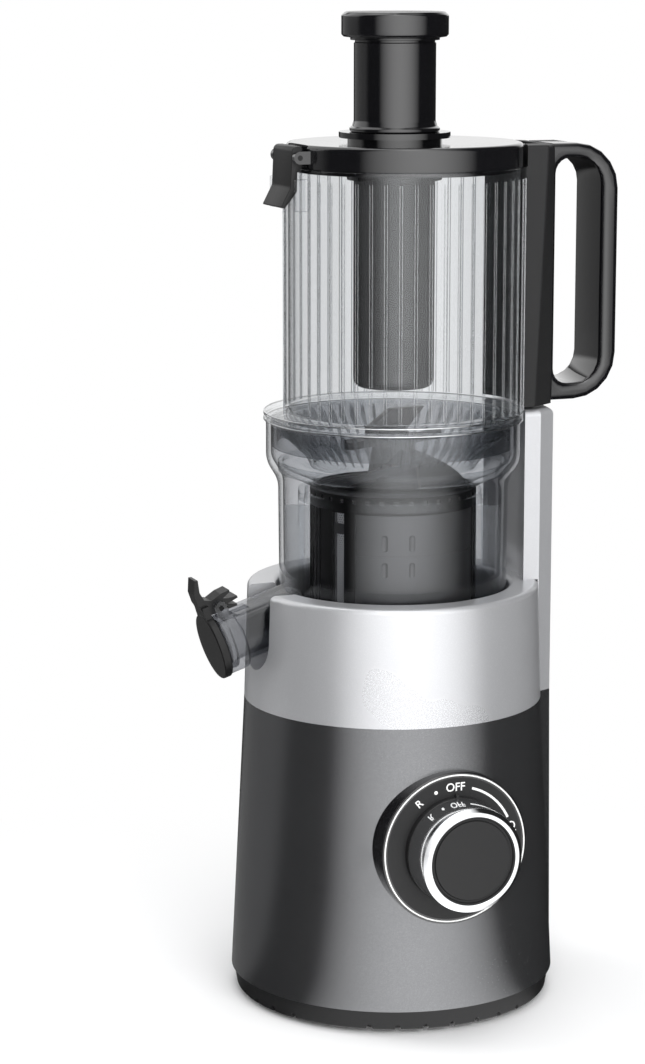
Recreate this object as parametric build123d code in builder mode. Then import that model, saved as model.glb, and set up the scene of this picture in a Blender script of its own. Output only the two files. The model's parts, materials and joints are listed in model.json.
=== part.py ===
"""Cold press juicer: motor base, juice bowl, clear hopper, hinged lid and pusher.

Millimetres. The machine axis is Z, the origin is where that axis meets the table.
The dial faces -Y, the juice spout -X, the handle and its column +X, the pulp outlet +Y.
"""
from build123d import *
import os
from math import acos, asin, atan, cos, degrees, pi, radians, sin, sqrt, tan

os.makedirs("parts", exist_ok=True)

# ---------------------------------------------------------------- driving sizes
# heights, from the table up
foot_stand = 2.0            # rubber feet stand out below the base cover
base_cover_height = 9.5     # black ring at the bottom
lower_height = 129.0        # dark lower housing
collar_height = 53.5        # silver upper housing
well_depth = 44.0           # recess in the collar that takes the bowl
bowl_height = 118.7         # bowl, from its underside to its rim
flange_height = 4.3         # ring at the bottom of the hopper
hopper_height = 110.5       # hopper wall above its flange
lid_height = 10.4
pusher_grip_height = 40.2   # pusher between the chute ring and its cap
pusher_cap_height = 12.5

# outside radii
bowl_radius = 52.7
hopper_radius = 54.8
chute_bore = 18.9
hopper_shift = 5.1          # the hopper stands this far towards the handle

# steps from one radius to the next
base_flare = 1.6            # base cover, outwards from bottom to top
base_step = 1.0             # lower housing stands out beyond the base cover
lower_flare = 6.5           # lower housing, outwards from its top to its bottom
collar_flare = 1.7
collar_ledge = 13.5         # flat top of the collar, round the well
bowl_play = 0.8             # bowl inside the well
bowl_draft = 0.7
rim_step = 5.5              # bowl's rim stands out beyond its wall
flange_lap = 1.1
lid_step = 1.3              # lid stands back from the hopper wall
chute_ring_width = 6.2
pusher_play = 0.5
pusher_cap_lap = 5.6

# walls and clearances
housing_wall = 2.5
clear_wall = 2.2
slip = 0.3                  # between pieces of two bodies
shaft_play = 0.05           # running fit of round shafts
seat_gap = 0.3              # under pieces that lift off

# column and handle
column_half_width = 23.0
column_reach = 6.8          # column's outer face, beyond the collar
column_crown = 2.2
column_corner_run = 8.1
column_corner_y = 19.0
column_foot_lean = 1.8
column_wall = 2.6
column_bowl_gap = 0.9
handle_gap = 1.6            # handle block above the column
handle_foot = 1.0           # handle block's underside, above the flange
handle_drop = 1.6           # handle block's top, below the lid's top
handle_face_step = 1.4      # handle block stands back from the column's face
handle_face_y = 15.0
hinge_drop = 5.3            # lid's hinge line, below the lid's top
hinge_inset = 9.4           # and inwards from the handle's face
handle_reach = 33.2         # grip, outwards from the handle block
handle_bar = 8.4
grip_half_width = 15.0
grip_outer_round = 21.0

# dial
dial_height = 86.0
bezel_radius = 35.0
bezel_face_y = 74.0
bezel_depth = 15.0
knob_skirt_radius = 24.0
knob_radius = 20.8
knob_height = 21.0
knob_shaft_radius = 3.0

# spout, measured along its own axis
spout_tilt = 17.5
spout_root_z = 181.0
spout_width = 22.0
spout_section = 24.0
spout_wall = 2.2
spout_length = 24.0
lip_radius = 14.8
lip_bore = 12.8
lip_length = 9.5
flap_radius = 15.6
flap_thickness = 4.0
flap_pin_radius = 1.2
flap_pin_rise = 17.6
flap_pin_along = 29.5
notch_half_width = 14.5
notch_depth = 36.5

# pulp outlet, under the bowl's floor
pulp_duct_width = 19.0
pulp_duct_wall = 2.0
pulp_reach = 84.0
pulp_hole_radius = 7.2
pulp_notch_half_width = 12.5

# inside the bowl
bowl_skirt = 11.7           # bowl wall below its floor
bowl_floor = 2.4
strainer_radius = 37.4
strainer_wall = 1.5
mesh_wall = 0.6
strainer_lap = 2.2          # strainer's rim, beyond the bowl's bore
strainer_rim_height = 5.0
strainer_ledge = 23.5       # seat of the strainer's rim, below the bowl's rim
wiper_radius = 43.6
wiper_post_angles = (157.5, 337.5)
auger_clearance = 0.9
auger_pitch = 62.0
auger_socket_radius = 10.5

# drive
gear_module = 1.25
motor_pinion_teeth = 12
first_gear_teeth = 46
second_pinion_teeth = 13
output_gear_teeth = 45
auger_gear_teeth = 24
wiper_pinion_teeth = 18
gear_backlash = 0.3
drive_shaft_radius = 8.0
drive_hex = 12.0            # across flats
motor_radius = 31.0
motor_height = 62.0
motor_shaft_radius = 4.0
rotor_radius = 17.0
air_gap = 0.6

# ---------------------------------------------------------------- derived heights
base_z = foot_stand
housing_z = base_z + base_cover_height
seam_z = housing_z + lower_height
ledge_z = seam_z + collar_height
deck_z = ledge_z - well_depth
bowl_z = deck_z + seat_gap
rim_z = bowl_z + bowl_height
flange_z = rim_z + seat_gap
hopper_z = flange_z + flange_height
hopper_top = hopper_z + hopper_height
lid_z = hopper_top + seat_gap
lid_top = lid_z + lid_height
handle_z = hopper_z + handle_foot
handle_top = lid_top - handle_drop
hinge_z = lid_top - hinge_drop
column_top = handle_z - handle_gap
chute_top = lid_top + 4.6
grip_z = chute_top + seat_gap
pusher_top = grip_z + pusher_grip_height + pusher_cap_height

# ---------------------------------------------------------------- derived radii
bowl_foot_radius = bowl_radius - bowl_draft
bowl_rim_radius = bowl_radius + rim_step
flange_radius = bowl_rim_radius + flange_lap
lid_radius = hopper_radius - lid_step
hopper_bore = hopper_radius - clear_wall
bowl_bore = bowl_radius - clear_wall
rim_bore = bowl_rim_radius - clear_wall
strainer_rim_radius = bowl_bore + strainer_lap
well_radius = bowl_radius + bowl_play
collar_top_radius = well_radius + collar_ledge
seam_radius = collar_top_radius + collar_flare
lower_bottom_radius = seam_radius + lower_flare
base_top_radius = lower_bottom_radius - base_step
base_bottom_radius = base_top_radius - base_flare
column_face_x = collar_top_radius + column_reach
column_corner_x = column_face_x - column_crown
column_side_end = column_corner_x - column_corner_run
column_foot_x = column_face_x + column_foot_lean
handle_face_x = column_face_x - handle_face_step
hinge_x = handle_face_x - hinge_inset
pusher_radius = chute_bore - pusher_play
pusher_cap_radius = pusher_radius + pusher_cap_lap
chute_ring_radius = chute_bore + chute_ring_width


def lower_radius(z):
    """Outside radius of the lower housing at height z."""
    rise = (z - housing_z) / lower_height
    return lower_bottom_radius + (seam_radius - lower_bottom_radius) * rise


def collar_radius(z):
    """Outside radius of the collar at height z."""
    rise = (z - seam_z) / collar_height
    return seam_radius + (collar_top_radius - seam_radius) * rise


def column_outline(face_x, inset=0.0):
    """Plan of the column: parallel sides, tapered corners, crowned outer face."""
    side = column_half_width - inset
    corner_y = column_corner_y - inset
    corner_x = face_x - (column_face_x - column_corner_x) - inset * 0.6
    with BuildSketch(mode=Mode.PRIVATE) as plan:
        with BuildLine():
            Polyline((corner_x, -corner_y), (column_side_end, -side), (40, -side),
                     (40, side), (column_side_end, side), (corner_x, corner_y))
            ThreePointArc((corner_x, corner_y), (face_x - inset, 0), (corner_x, -corner_y))
        make_face()
    return plan.sketch


def gear_outline(teeth, phase=0.0, addendum=0.9, dedendum=1.2, backlash=gear_backlash):
    """Corner points of an involute gear, with a tooth centred on the angle phase."""
    pitch_radius = gear_module * teeth / 2
    base_radius = pitch_radius * cos(radians(20))
    tip_radius = pitch_radius + addendum * gear_module
    root_radius = pitch_radius - dedendum * gear_module
    half_tooth = pi / (2 * teeth) - backlash / (2 * pitch_radius) + tan(radians(20)) - radians(20)
    start_radius = max(base_radius, root_radius)
    flank = [(root_radius, half_tooth)] if root_radius < base_radius else []
    for step in range(4):
        r = start_radius + (tip_radius - start_radius) * step / 3
        roll = acos(base_radius / r)
        flank.append((r, half_tooth - (tan(roll) - roll)))
    points = []
    for tooth in range(teeth):
        centre = radians(phase) + 2 * pi * tooth / teeth
        points += [(r * cos(centre - half), r * sin(centre - half)) for r, half in flank]
        points += [(r * cos(centre + half), r * sin(centre + half)) for r, half in reversed(flank)]
    return points


def save(part, name):
    """Label a finished piece and write it."""
    part.label = name
    export_step(part, "parts/" + name + ".step")


def cap_screw(length, thread_radius=1.5, head_radius=2.8, head_height=2.0):
    """Cross-head screw along +Z, its head's underside at z = 0 and the thread below."""
    with BuildPart(mode=Mode.PRIVATE) as screw:
        Cylinder(head_radius, head_height, align=(Align.CENTER, Align.CENTER, Align.MIN))
        fillet(screw.edges().sort_by(Axis.Z)[-1], head_height * 0.35)
        Cylinder(thread_radius, length, align=(Align.CENTER, Align.CENTER, Align.MAX))
        with Locations((0, 0, head_height)):
            Box(head_radius, 0.6, 1.6, mode=Mode.SUBTRACT)
            Box(0.6, head_radius, 1.6, mode=Mode.SUBTRACT)
    return screw.part




def turned(points):
    """Solid of revolution about Z from corner points (radius, height)."""
    with BuildPart(mode=Mode.PRIVATE) as body:
        with BuildSketch(Plane.XZ):
            with BuildLine():
                Polyline(*points, close=True)
            make_face()
        revolve(axis=Axis.Z)
    return body.part


STANDING = (Align.CENTER, Align.CENTER, Align.MIN)

# ================================================================ motor base
# ---------------------------------------------------------------- base cover
cover_floor = 2.5
cover_rim_wall = 4.0
foot_ring_radius = 56.0
foot_radius = 9.0
foot_seat = 1.2
screw_ring_radius = 62.0
foot_angles = (45, 135, 225, 315)
base_screw_angles = (22, 112, 202, 292)
screw_seat = 4.0
air_notch_height = 2.7

with BuildPart() as base_cover:
    add(turned([(0, base_z), (base_bottom_radius, base_z), (base_top_radius, housing_z),
                (0, housing_z)]))
    fillet(base_cover.edges().group_by(Axis.Z)[0], 1.5)
    with BuildSketch(Plane.XY.offset(base_z + cover_floor)):
        Circle(base_bottom_radius - cover_rim_wall)
    extrude(amount=base_cover_height, mode=Mode.SUBTRACT)
    # pillars round the screws, up to the lower housing
    with Locations((0, 0, base_z)):
        with PolarLocations(screw_ring_radius, len(base_screw_angles),
                            start_angle=base_screw_angles[0]):
            Cylinder(4.5, base_cover_height, align=STANDING)
            Cylinder(1.7, base_cover_height, align=STANDING, mode=Mode.SUBTRACT)
            Cylinder(3.1, screw_seat, align=STANDING, mode=Mode.SUBTRACT)
        # seats for the feet
        with PolarLocations(foot_ring_radius, len(foot_angles), start_angle=foot_angles[0]):
            Cylinder(foot_radius, foot_seat, align=STANDING, mode=Mode.SUBTRACT)
    # cooling slots under the fan, in rings
    for slot_radius, slots in ((14, 6), (22, 10), (30, 14)):
        with BuildSketch(Plane.XY.offset(base_z)):
            with PolarLocations(slot_radius, slots):
                SlotOverall(6.5, 2.6)
        extrude(amount=cover_floor, mode=Mode.SUBTRACT)
    # half-round air notches in the bottom edge, left out beside the feet
    for quarter in range(4):
        for step in range(-3, 4):
            turn = radians(quarter * 90 + step * 10)
            outwards = Plane(origin=(0, 0, base_z), x_dir=(-sin(turn), cos(turn), 0),
                             z_dir=(cos(turn), sin(turn), 0))
            with BuildSketch(outwards.offset(base_bottom_radius - cover_rim_wall)):
                SlotOverall(2 * air_notch_height, 2.6, rotation=90)
            extrude(amount=2 * cover_rim_wall, mode=Mode.SUBTRACT)
save(base_cover.part, "base_cover")

# ---------------------------------------------------------------- feet and base screws
with BuildPart() as rubber_feet:
    with PolarLocations(foot_ring_radius, len(foot_angles), start_angle=foot_angles[0]):
        Cylinder(foot_radius, foot_stand + foot_seat, align=STANDING)
    fillet(rubber_feet.edges().group_by(Axis.Z)[0], 0.8)
    with PolarLocations(foot_ring_radius, len(foot_angles), start_angle=foot_angles[0]):
        Cylinder(foot_radius - 4, 1.0, align=STANDING, mode=Mode.SUBTRACT)
save(rubber_feet.part, "rubber_feet")

# ---------------------------------------------------------------- lower housing
inlet_z = 32.0
inlet_radius = 5.5
boss_height = 16.0
bezel_back_y = bezel_face_y - bezel_depth

with BuildPart() as lower_housing:
    add(turned([(0, housing_z), (lower_bottom_radius, housing_z), (seam_radius, seam_z),
                (0, seam_z)]))
    # foot of the column
    with BuildPart(mode=Mode.PRIVATE) as column_foot:
        with BuildSketch(Plane.XY.offset(housing_z)):
            add(column_outline(column_foot_x))
        with BuildSketch(Plane.XY.offset(seam_z)):
            add(column_outline(column_face_x))
        loft(ruled=True)
    add(column_foot.part)
    add(turned([(0, housing_z), (lower_bottom_radius - housing_wall, housing_z),
                (seam_radius - housing_wall, seam_z), (0, seam_z)]), mode=Mode.SUBTRACT)
    with BuildSketch(Plane.XY.offset(housing_z)):
        add(column_outline(column_face_x, housing_wall))
    extrude(amount=lower_height, mode=Mode.SUBTRACT)
    # opening for the dial
    with BuildSketch(Plane.XZ.offset(bezel_back_y - 4)):
        with Locations((0, dial_height)):
            Circle(bezel_radius)
    extrude(amount=30, mode=Mode.SUBTRACT)
    # screw bosses on the base cover's pillars, each with a rib to the wall
    with Locations((0, 0, housing_z)):
        with PolarLocations(screw_ring_radius, len(base_screw_angles),
                            start_angle=base_screw_angles[0]):
            Cylinder(4.5, boss_height, align=STANDING)
            with Locations((6.5, 0, 0)):
                Box(10, 2.5, boss_height, align=STANDING)
            Cylinder(1.5, 12, align=STANDING, mode=Mode.SUBTRACT)
    # mains inlet at the back
    with BuildSketch(Plane.XZ.offset(-(lower_radius(inlet_z) + 6))):
        with Locations((0, inlet_z)):
            Circle(inlet_radius)
    extrude(amount=14, mode=Mode.SUBTRACT)
save(lower_housing.part, "lower_housing")

inlet_wall_y = lower_radius(inlet_z)
inlet_layers = ((inlet_radius, -4.5, 2.2), (inlet_radius + 2.2, 0.9, 3.3))
with BuildPart() as cord_inlet:
    for layer_radius, inner, outer in inlet_layers:
        with BuildSketch(Plane.XZ.offset(-(inlet_wall_y + outer))):
            with Locations((0, inlet_z)):
                Circle(layer_radius)
        extrude(amount=outer - inner)
    with BuildSketch(Plane.XZ.offset(-(inlet_wall_y + 4))):
        with Locations((0, inlet_z)):
            Circle(3.6)
    extrude(amount=12, mode=Mode.SUBTRACT)
save(cord_inlet.part, "cord_inlet")

# ---------------------------------------------------------------- collar
spigot_height = 6.0
spigot_wall = 2.0
deck_thickness = 4.0
deck_flange = 2.0
deck_flange_radius = well_radius + 7.5
deck_under = deck_z - deck_thickness
deck_boss_ring = well_radius + 4.5
deck_boss_angles = (45, 135, 225, 315)
ledge_round = 2.4
notch_z = ledge_z - notch_depth
spigot_radius = seam_radius - housing_wall - 0.1

with BuildPart() as collar:
    add(turned([(well_radius, deck_under), (well_radius, ledge_z), (collar_top_radius, ledge_z),
                (seam_radius, seam_z), (spigot_radius, seam_z),
                (spigot_radius, seam_z - spigot_height),
                (spigot_radius - spigot_wall, seam_z - spigot_height),
                (spigot_radius - spigot_wall, deck_under)]))
    fillet(collar.edges().group_by(Axis.Z)[-1], ledge_round)
    # space between the outer wall and the well, with walls left beside the two notches
    with BuildPart(mode=Mode.PRIVATE) as between_walls:
        add(turned([(well_radius + housing_wall, deck_under - 0.01),
                    (well_radius + housing_wall, ledge_z - housing_wall),
                    (collar_top_radius - housing_wall, ledge_z - housing_wall),
                    (spigot_radius - spigot_wall, seam_z + 2.0),
                    (spigot_radius - spigot_wall, deck_under - 0.01)]))
        with Locations((-well_radius, 0, notch_z - housing_wall)):
            Box(60, 2 * (notch_half_width + housing_wall), collar_height, align=STANDING,
                mode=Mode.SUBTRACT)
        with Locations((0, well_radius, deck_under - 1)):
            Box(2 * (pulp_notch_half_width + housing_wall), 60, collar_height + 8, align=STANDING,
                mode=Mode.SUBTRACT)
        with Locations((0, 0, deck_under - 1)):
            with PolarLocations(deck_boss_ring, 4, start_angle=deck_boss_angles[0]):
                Cylinder(4.0, 14, align=STANDING, mode=Mode.SUBTRACT)
    add(between_walls.part, mode=Mode.SUBTRACT)
    with Locations((0, 0, deck_under)):
        with PolarLocations(deck_boss_ring, 4, start_angle=deck_boss_angles[0]):
            Cylinder(1.5, 10, align=STANDING, mode=Mode.SUBTRACT)
    # notch for the juice spout: round bottom, open to the top
    with BuildSketch(Plane.YZ.offset(-collar_top_radius - 10)):
        with Locations((0, notch_z + notch_half_width)):
            Circle(notch_half_width)
        with Locations((0, notch_z + notch_half_width)):
            Rectangle(2 * notch_half_width, notch_depth, align=(Align.CENTER, Align.MIN))
    extrude(amount=40, mode=Mode.SUBTRACT)
    # notch for the pulp duct, down to the deck
    with Locations((0, well_radius + 10, deck_z)):
        Box(2 * pulp_notch_half_width, 40, collar_height, align=STANDING, mode=Mode.SUBTRACT)
save(collar.part, "collar")

# ---------------------------------------------------------------- column
column_bore = flange_radius + column_bowl_gap
plunger_x = (column_bore + column_face_x) / 2
plunger_radius = 2.9
plunger_hole = plunger_radius + slip
column_cap = 2.5
switch_z = 240.0

with BuildPart() as column:
    with BuildSketch(Plane.XY.offset(seam_z)):
        add(column_outline(column_face_x))
    extrude(amount=column_top - seam_z)
    top_edges = column.faces().sort_by(Axis.Z)[-1].edges().filter_by(lambda e: e.center().X > 45)
    fillet(top_edges, 3.0)
    add(turned([(0, seam_z), (seam_radius, seam_z), (collar_top_radius, ledge_z),
                (column_bore, ledge_z), (column_bore, column_top), (0, column_top)]),
        mode=Mode.SUBTRACT)
    # chamber for the interlock switch
    with Locations(((column_bore + column_face_x) / 2 + 0.3, 0, ledge_z + housing_wall)):
        Box(column_face_x - column_bore - 2 * column_wall, 32,
            column_top - column_cap - ledge_z - housing_wall, align=STANDING,
            mode=Mode.SUBTRACT)
    with Locations((plunger_x, 0, column_top)):
        Cylinder(plunger_hole, 2 * column_cap, mode=Mode.SUBTRACT)
save(column.part, "column")

# ---------------------------------------------------------------- interlock
plunger_top = column_top - 2.8
plunger_travel = 2.5
spring_low = switch_z + 12.2
spring_high = column_top - column_cap - plunger_travel - 3.5

with BuildPart() as interlock_plunger:
    with Locations((plunger_x, 0, spring_high)):
        Cylinder(plunger_radius, plunger_top - spring_high, align=STANDING)
        Cylinder(3.9, 1.4, align=STANDING)
        Cylinder(1.6, 9.5, align=(Align.CENTER, Align.CENTER, Align.MAX))
    fillet(interlock_plunger.edges().sort_by(Axis.Z)[-1], 0.8)
save(interlock_plunger.part, "interlock_plunger")

spring_turns = 5
with BuildPart() as interlock_spring:
    spring_line = Helix(pitch=(spring_high - spring_low - 1.0) / spring_turns,
                        height=spring_high - spring_low - 1.0, radius=2.9,
                        center=(plunger_x, 0, spring_low + 0.5))
    with BuildSketch(Plane(origin=spring_line @ 0, z_dir=spring_line % 0)):
        Circle(0.35)
    sweep(path=spring_line, is_frenet=True)
save(interlock_spring.part, "interlock_spring")

with BuildPart() as interlock_switch:
    with Locations((plunger_x, 0, switch_z)):
        Box(6.4, 20, 10, align=STANDING)
    fillet(interlock_switch.edges().filter_by(Axis.Z), 0.6)
    with Locations((plunger_x, 0, switch_z + 10)):
        Cylinder(1.2, 0.8, align=STANDING)
    with Locations((plunger_x, 0, switch_z + 10), (plunger_x, -7, switch_z + 10),
                   (plunger_x, 7, switch_z + 10)):
        Box(3.0, 0.8, 1.2, align=STANDING)
    with Locations((plunger_x, 0, switch_z)):
        with GridLocations(1, 7, 1, 3):
            Box(3.0, 0.8, 5, align=(Align.CENTER, Align.CENTER, Align.MAX))
save(interlock_switch.part, "interlock_switch")

# ---------------------------------------------------------------- deck under the bowl
deck_bearing_radius = 13.0
with BuildPart() as drive_deck:
    add(turned([(0, deck_under - deck_flange), (deck_flange_radius, deck_under - deck_flange),
                (deck_flange_radius, deck_under), (well_radius, deck_under),
                (well_radius, deck_z), (0, deck_z)]))
    with Locations((0, 0, deck_under - deck_flange)):
        Cylinder(deck_bearing_radius + 2.5, 3.0,
                 align=(Align.CENTER, Align.CENTER, Align.MAX))
    with Locations((0, 0, deck_z)):
        Cylinder(deck_bearing_radius, 2.0, align=(Align.CENTER, Align.CENTER, Align.MAX),
                 mode=Mode.SUBTRACT)
        Cylinder(drive_shaft_radius + slip, 30, mode=Mode.SUBTRACT)
    with Locations((0, 0, deck_under - deck_flange - 3.0)):
        Cylinder(deck_bearing_radius, 7.0, align=STANDING, mode=Mode.SUBTRACT)
    with Locations((0, 0, deck_under)):
        with PolarLocations(deck_boss_ring, 4, start_angle=deck_boss_angles[0]):
            Cylinder(1.7, 10, mode=Mode.SUBTRACT)
save(drive_deck.part, "drive_deck")

# the same screws hold the base cover and the deck
screw_length = 11.0
with BuildPart() as housing_screws:
    with Locations((0, 0, base_z + screw_seat)):
        with PolarLocations(screw_ring_radius, len(base_screw_angles),
                            start_angle=base_screw_angles[0]):
            with Locations(Location((0, 0, 0), (180, 0, 0))):
                add(cap_screw(screw_length))
    with Locations((0, 0, deck_under - deck_flange)):
        with PolarLocations(deck_boss_ring, 4, start_angle=deck_boss_angles[0]):
            with Locations(Location((0, 0, 0), (180, 0, 0))):
                add(cap_screw(screw_length))
save(housing_screws.part, "housing_screws")

with BuildPart() as shaft_seal:
    add(turned([(drive_shaft_radius + slip, deck_z - 2.0), (deck_bearing_radius, deck_z - 2.0),
                (deck_bearing_radius, deck_z), (drive_shaft_radius + 2.5, deck_z),
                (drive_shaft_radius + slip, deck_z - 0.8)]))
save(shaft_seal.part, "shaft_seal")

# ---------------------------------------------------------------- gear train
stage_centres = gear_module * (motor_pinion_teeth + first_gear_teeth) / 2
motor_z = 24.0
plate_z = motor_z + motor_height
plate_thickness = 4.0
gears_z = plate_z + plate_thickness + 4.0
first_gear_width = 8.0
second_gear_width = 9.0
case_top = gears_z + first_gear_width + second_gear_width + 5.0
case_roof = 4.0
case_wall = 2.0
case_inner_radius = gear_module * first_gear_teeth / 2 + 3.0
axle_radius = 3.0

with BuildPart() as gear_plate:
    with BuildSketch(Plane.XY.offset(plate_z)):
        with Locations((stage_centres / 2, 0)):
            SlotCenterToCenter(stage_centres, 2 * (case_inner_radius + case_wall))
    extrude(amount=plate_thickness)
    with Locations((0, 0, plate_z)):
        Cylinder(motor_shaft_radius + 2, 20, mode=Mode.SUBTRACT)
        with PolarLocations(21.0, 4, start_angle=100, angular_range=160, endpoint=True):
            Cylinder(1.7, 20, mode=Mode.SUBTRACT)
    with Locations((stage_centres, 0, plate_z)):
        Cylinder(axle_radius, 20, mode=Mode.SUBTRACT)
save(gear_plate.part, "gear_plate")

with BuildPart() as gear_case:
    with BuildSketch(Plane.XY.offset(plate_z + plate_thickness)):
        with Locations((stage_centres / 2, 0)):
            SlotCenterToCenter(stage_centres, 2 * (case_inner_radius + case_wall))
    extrude(amount=case_top + case_roof - plate_z - plate_thickness)
    with BuildSketch(Plane.XY.offset(plate_z + plate_thickness)):
        with Locations((stage_centres / 2, 0)):
            SlotCenterToCenter(stage_centres, 2 * case_inner_radius)
    extrude(amount=case_top - plate_z - plate_thickness, mode=Mode.SUBTRACT)
    with Locations((0, 0, case_top + case_roof)):
        Cylinder(deck_bearing_radius + 2.5, 6.0, align=STANDING)
    # pillars up to the deck
    with Locations((0, 0, case_top + case_roof)):
        with PolarLocations(27.0, 4, start_angle=45):
            Cylinder(4.0, deck_under - deck_flange - case_top - case_roof, align=STANDING)
            Cylinder(1.5, deck_under - deck_flange - case_top - case_roof, align=STANDING,
                     mode=Mode.SUBTRACT)
    with Locations((0, 0, case_top)):
        Cylinder(deck_bearing_radius, case_roof + 6.0, align=STANDING, mode=Mode.SUBTRACT)
    with Locations((stage_centres, 0, case_top)):
        Cylinder(axle_radius, 3.0, align=STANDING, mode=Mode.SUBTRACT)
save(gear_case.part, "gear_case")

with BuildPart() as gear_axle:
    with Locations((stage_centres, 0, plate_z)):
        Cylinder(axle_radius, case_top + 3.0 - plate_z, align=STANDING)
    chamfer(gear_axle.edges().filter_by(GeomType.CIRCLE), 0.4)
save(gear_axle.part, "gear_axle")

shaft_bearing_width = 7.0
lower_bearing_z = case_top + 1.0
upper_bearing_z = deck_under - deck_flange - 3.0
with BuildPart() as shaft_bearings:
    for bearing_z in (lower_bearing_z, upper_bearing_z):
        add(turned([(drive_shaft_radius + shaft_play, bearing_z), (deck_bearing_radius, bearing_z),
                    (deck_bearing_radius, bearing_z + shaft_bearing_width),
                    (drive_shaft_radius + shaft_play, bearing_z + shaft_bearing_width)]))
save(shaft_bearings.part, "shaft_bearings")

output_gear_z = gears_z + first_gear_width + 1.0
shaft_foot = gears_z + first_gear_width + 2.0
with BuildPart() as output_gear:
    with BuildSketch(Plane.XY.offset(output_gear_z + 1.0)):
        with BuildLine():
            Polyline(*gear_outline(output_gear_teeth), close=True)
        make_face()
        Circle(drive_shaft_radius, mode=Mode.SUBTRACT)
        with PolarLocations(18.0, 6):
            Circle(4.5, mode=Mode.SUBTRACT)
    extrude(amount=second_gear_width - 2.0)
save(output_gear.part, "output_gear")

# ---------------------------------------------------------------- drive shaft
floor_z = bowl_z + bowl_skirt
floor_top = floor_z + bowl_floor
hex_foot = floor_top + 1.0
hex_top = hex_foot + 22.0
with BuildPart() as drive_shaft:
    with Locations((0, 0, shaft_foot)):
        Cylinder(drive_shaft_radius, hex_foot - shaft_foot, align=STANDING)
    with BuildSketch(Plane.XY.offset(hex_foot)):
        RegularPolygon(drive_hex / 2, 6, major_radius=False)
    extrude(amount=hex_top - hex_foot)
    chamfer(drive_shaft.faces().sort_by(Axis.Z)[-1].edges(), 1.0)
save(drive_shaft.part, "drive_shaft")

with BuildPart() as first_gear:
    with BuildSketch(Plane.XY.offset(gears_z)):
        with BuildLine():
            Polyline(*gear_outline(first_gear_teeth), close=True)
        make_face()
        with PolarLocations(19.0, 6):
            Circle(4.0, mode=Mode.SUBTRACT)
    extrude(amount=first_gear_width)
    second_phase = 180 + 180 / second_pinion_teeth
    with BuildSketch(Plane.XY.offset(gears_z + first_gear_width)):
        with BuildLine():
            Polyline(*gear_outline(second_pinion_teeth, second_phase), close=True)
        make_face()
    extrude(amount=second_gear_width + 1.0)
    with Locations((0, 0, gears_z)):
        Cylinder(axle_radius + shaft_play, 60, mode=Mode.SUBTRACT)
first_gear_part = first_gear.part.moved(Location((stage_centres, 0, 0)))
save(first_gear_part, "transfer_gear")

# ---------------------------------------------------------------- motor
can_wall = 2.0
motor_bearing_radius = 9.0
stator_bore = rotor_radius + air_gap
stack_z = motor_z + 14.0
stack_height = 36.0

with BuildPart() as motor_can:
    with Locations((0, 0, motor_z)):
        Cylinder(motor_radius, motor_height, align=STANDING)
    fillet(motor_can.edges().filter_by(GeomType.CIRCLE), 1.6)
    with Locations((0, 0, motor_z + can_wall)):
        Cylinder(motor_radius - can_wall, motor_height - 2 * can_wall, align=STANDING,
                 mode=Mode.SUBTRACT)
    for pocket_z in (motor_z, plate_z - 6.0):
        with Locations((0, 0, pocket_z)):
            Cylinder(motor_bearing_radius + 2.0, 6.0, align=STANDING)
    with Locations((0, 0, motor_z)):
        Cylinder(motor_shaft_radius + 0.5, motor_height, align=STANDING, mode=Mode.SUBTRACT)
        with PolarLocations(21.0, 4, start_angle=100, angular_range=160, endpoint=True):
            Cylinder(1.5, motor_height, align=STANDING, mode=Mode.SUBTRACT)
    with Locations((0, 0, motor_z + 1.0)):
        Cylinder(motor_bearing_radius, 5.0, align=STANDING, mode=Mode.SUBTRACT)
    with Locations((0, 0, plate_z - 6.0)):
        Cylinder(motor_bearing_radius, 5.0, align=STANDING, mode=Mode.SUBTRACT)
    # cooling windows at both ends of the wall
    for window_z in (motor_z + 8.0, plate_z - 8.0):
        with BuildSketch(Plane.XY.offset(window_z - 2.5)):
            with PolarLocations(motor_radius, 8):
                Rectangle(2 * can_wall + 3, 12)
        extrude(amount=5.0, mode=Mode.SUBTRACT)
save(motor_can.part, "motor_can")

with BuildPart() as motor_stator:
    add(turned([(stator_bore, stack_z), (motor_radius - can_wall, stack_z),
                (motor_radius - can_wall, stack_z + stack_height),
                (stator_bore, stack_z + stack_height)]))
    with BuildSketch(Plane.XY.offset(stack_z)):
        with PolarLocations(stator_bore, 12):
            Rectangle(5.0, 2.4)
    extrude(amount=stack_height, mode=Mode.SUBTRACT)
save(motor_stator.part, "motor_stator")

coil_height = 5.0
with BuildPart() as motor_coils:
    for coil_z in (stack_z - coil_height, stack_z + stack_height):
        with Locations((0, 0, coil_z)):
            Cylinder(motor_radius - can_wall - 2.0, coil_height, align=STANDING)
            Cylinder(stator_bore + 2.0, coil_height, align=STANDING, mode=Mode.SUBTRACT)
    fillet(motor_coils.edges().filter_by(GeomType.CIRCLE), 1.5)
save(motor_coils.part, "motor_coils")

with BuildPart() as motor_bearings:
    for bearing_z in (motor_z + 1.0, plate_z - 6.0):
        add(turned([(motor_shaft_radius + shaft_play, bearing_z),
                    (motor_bearing_radius, bearing_z), (motor_bearing_radius, bearing_z + 5.0),
                    (motor_shaft_radius + shaft_play, bearing_z + 5.0)]))
save(motor_bearings.part, "motor_bearings")

with BuildPart() as motor_screws:
    with Locations((0, 0, plate_z + plate_thickness)):
        with PolarLocations(21.0, 4, start_angle=100, angular_range=160, endpoint=True):
            add(cap_screw(plate_thickness + can_wall))
save(motor_screws.part, "motor_screws")

with BuildPart() as motor_rotor:
    with Locations((0, 0, stack_z)):
        Cylinder(rotor_radius, stack_height, align=STANDING)
        Cylinder(motor_shaft_radius, stack_height, align=STANDING, mode=Mode.SUBTRACT)
save(motor_rotor.part, "motor_rotor")

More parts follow.
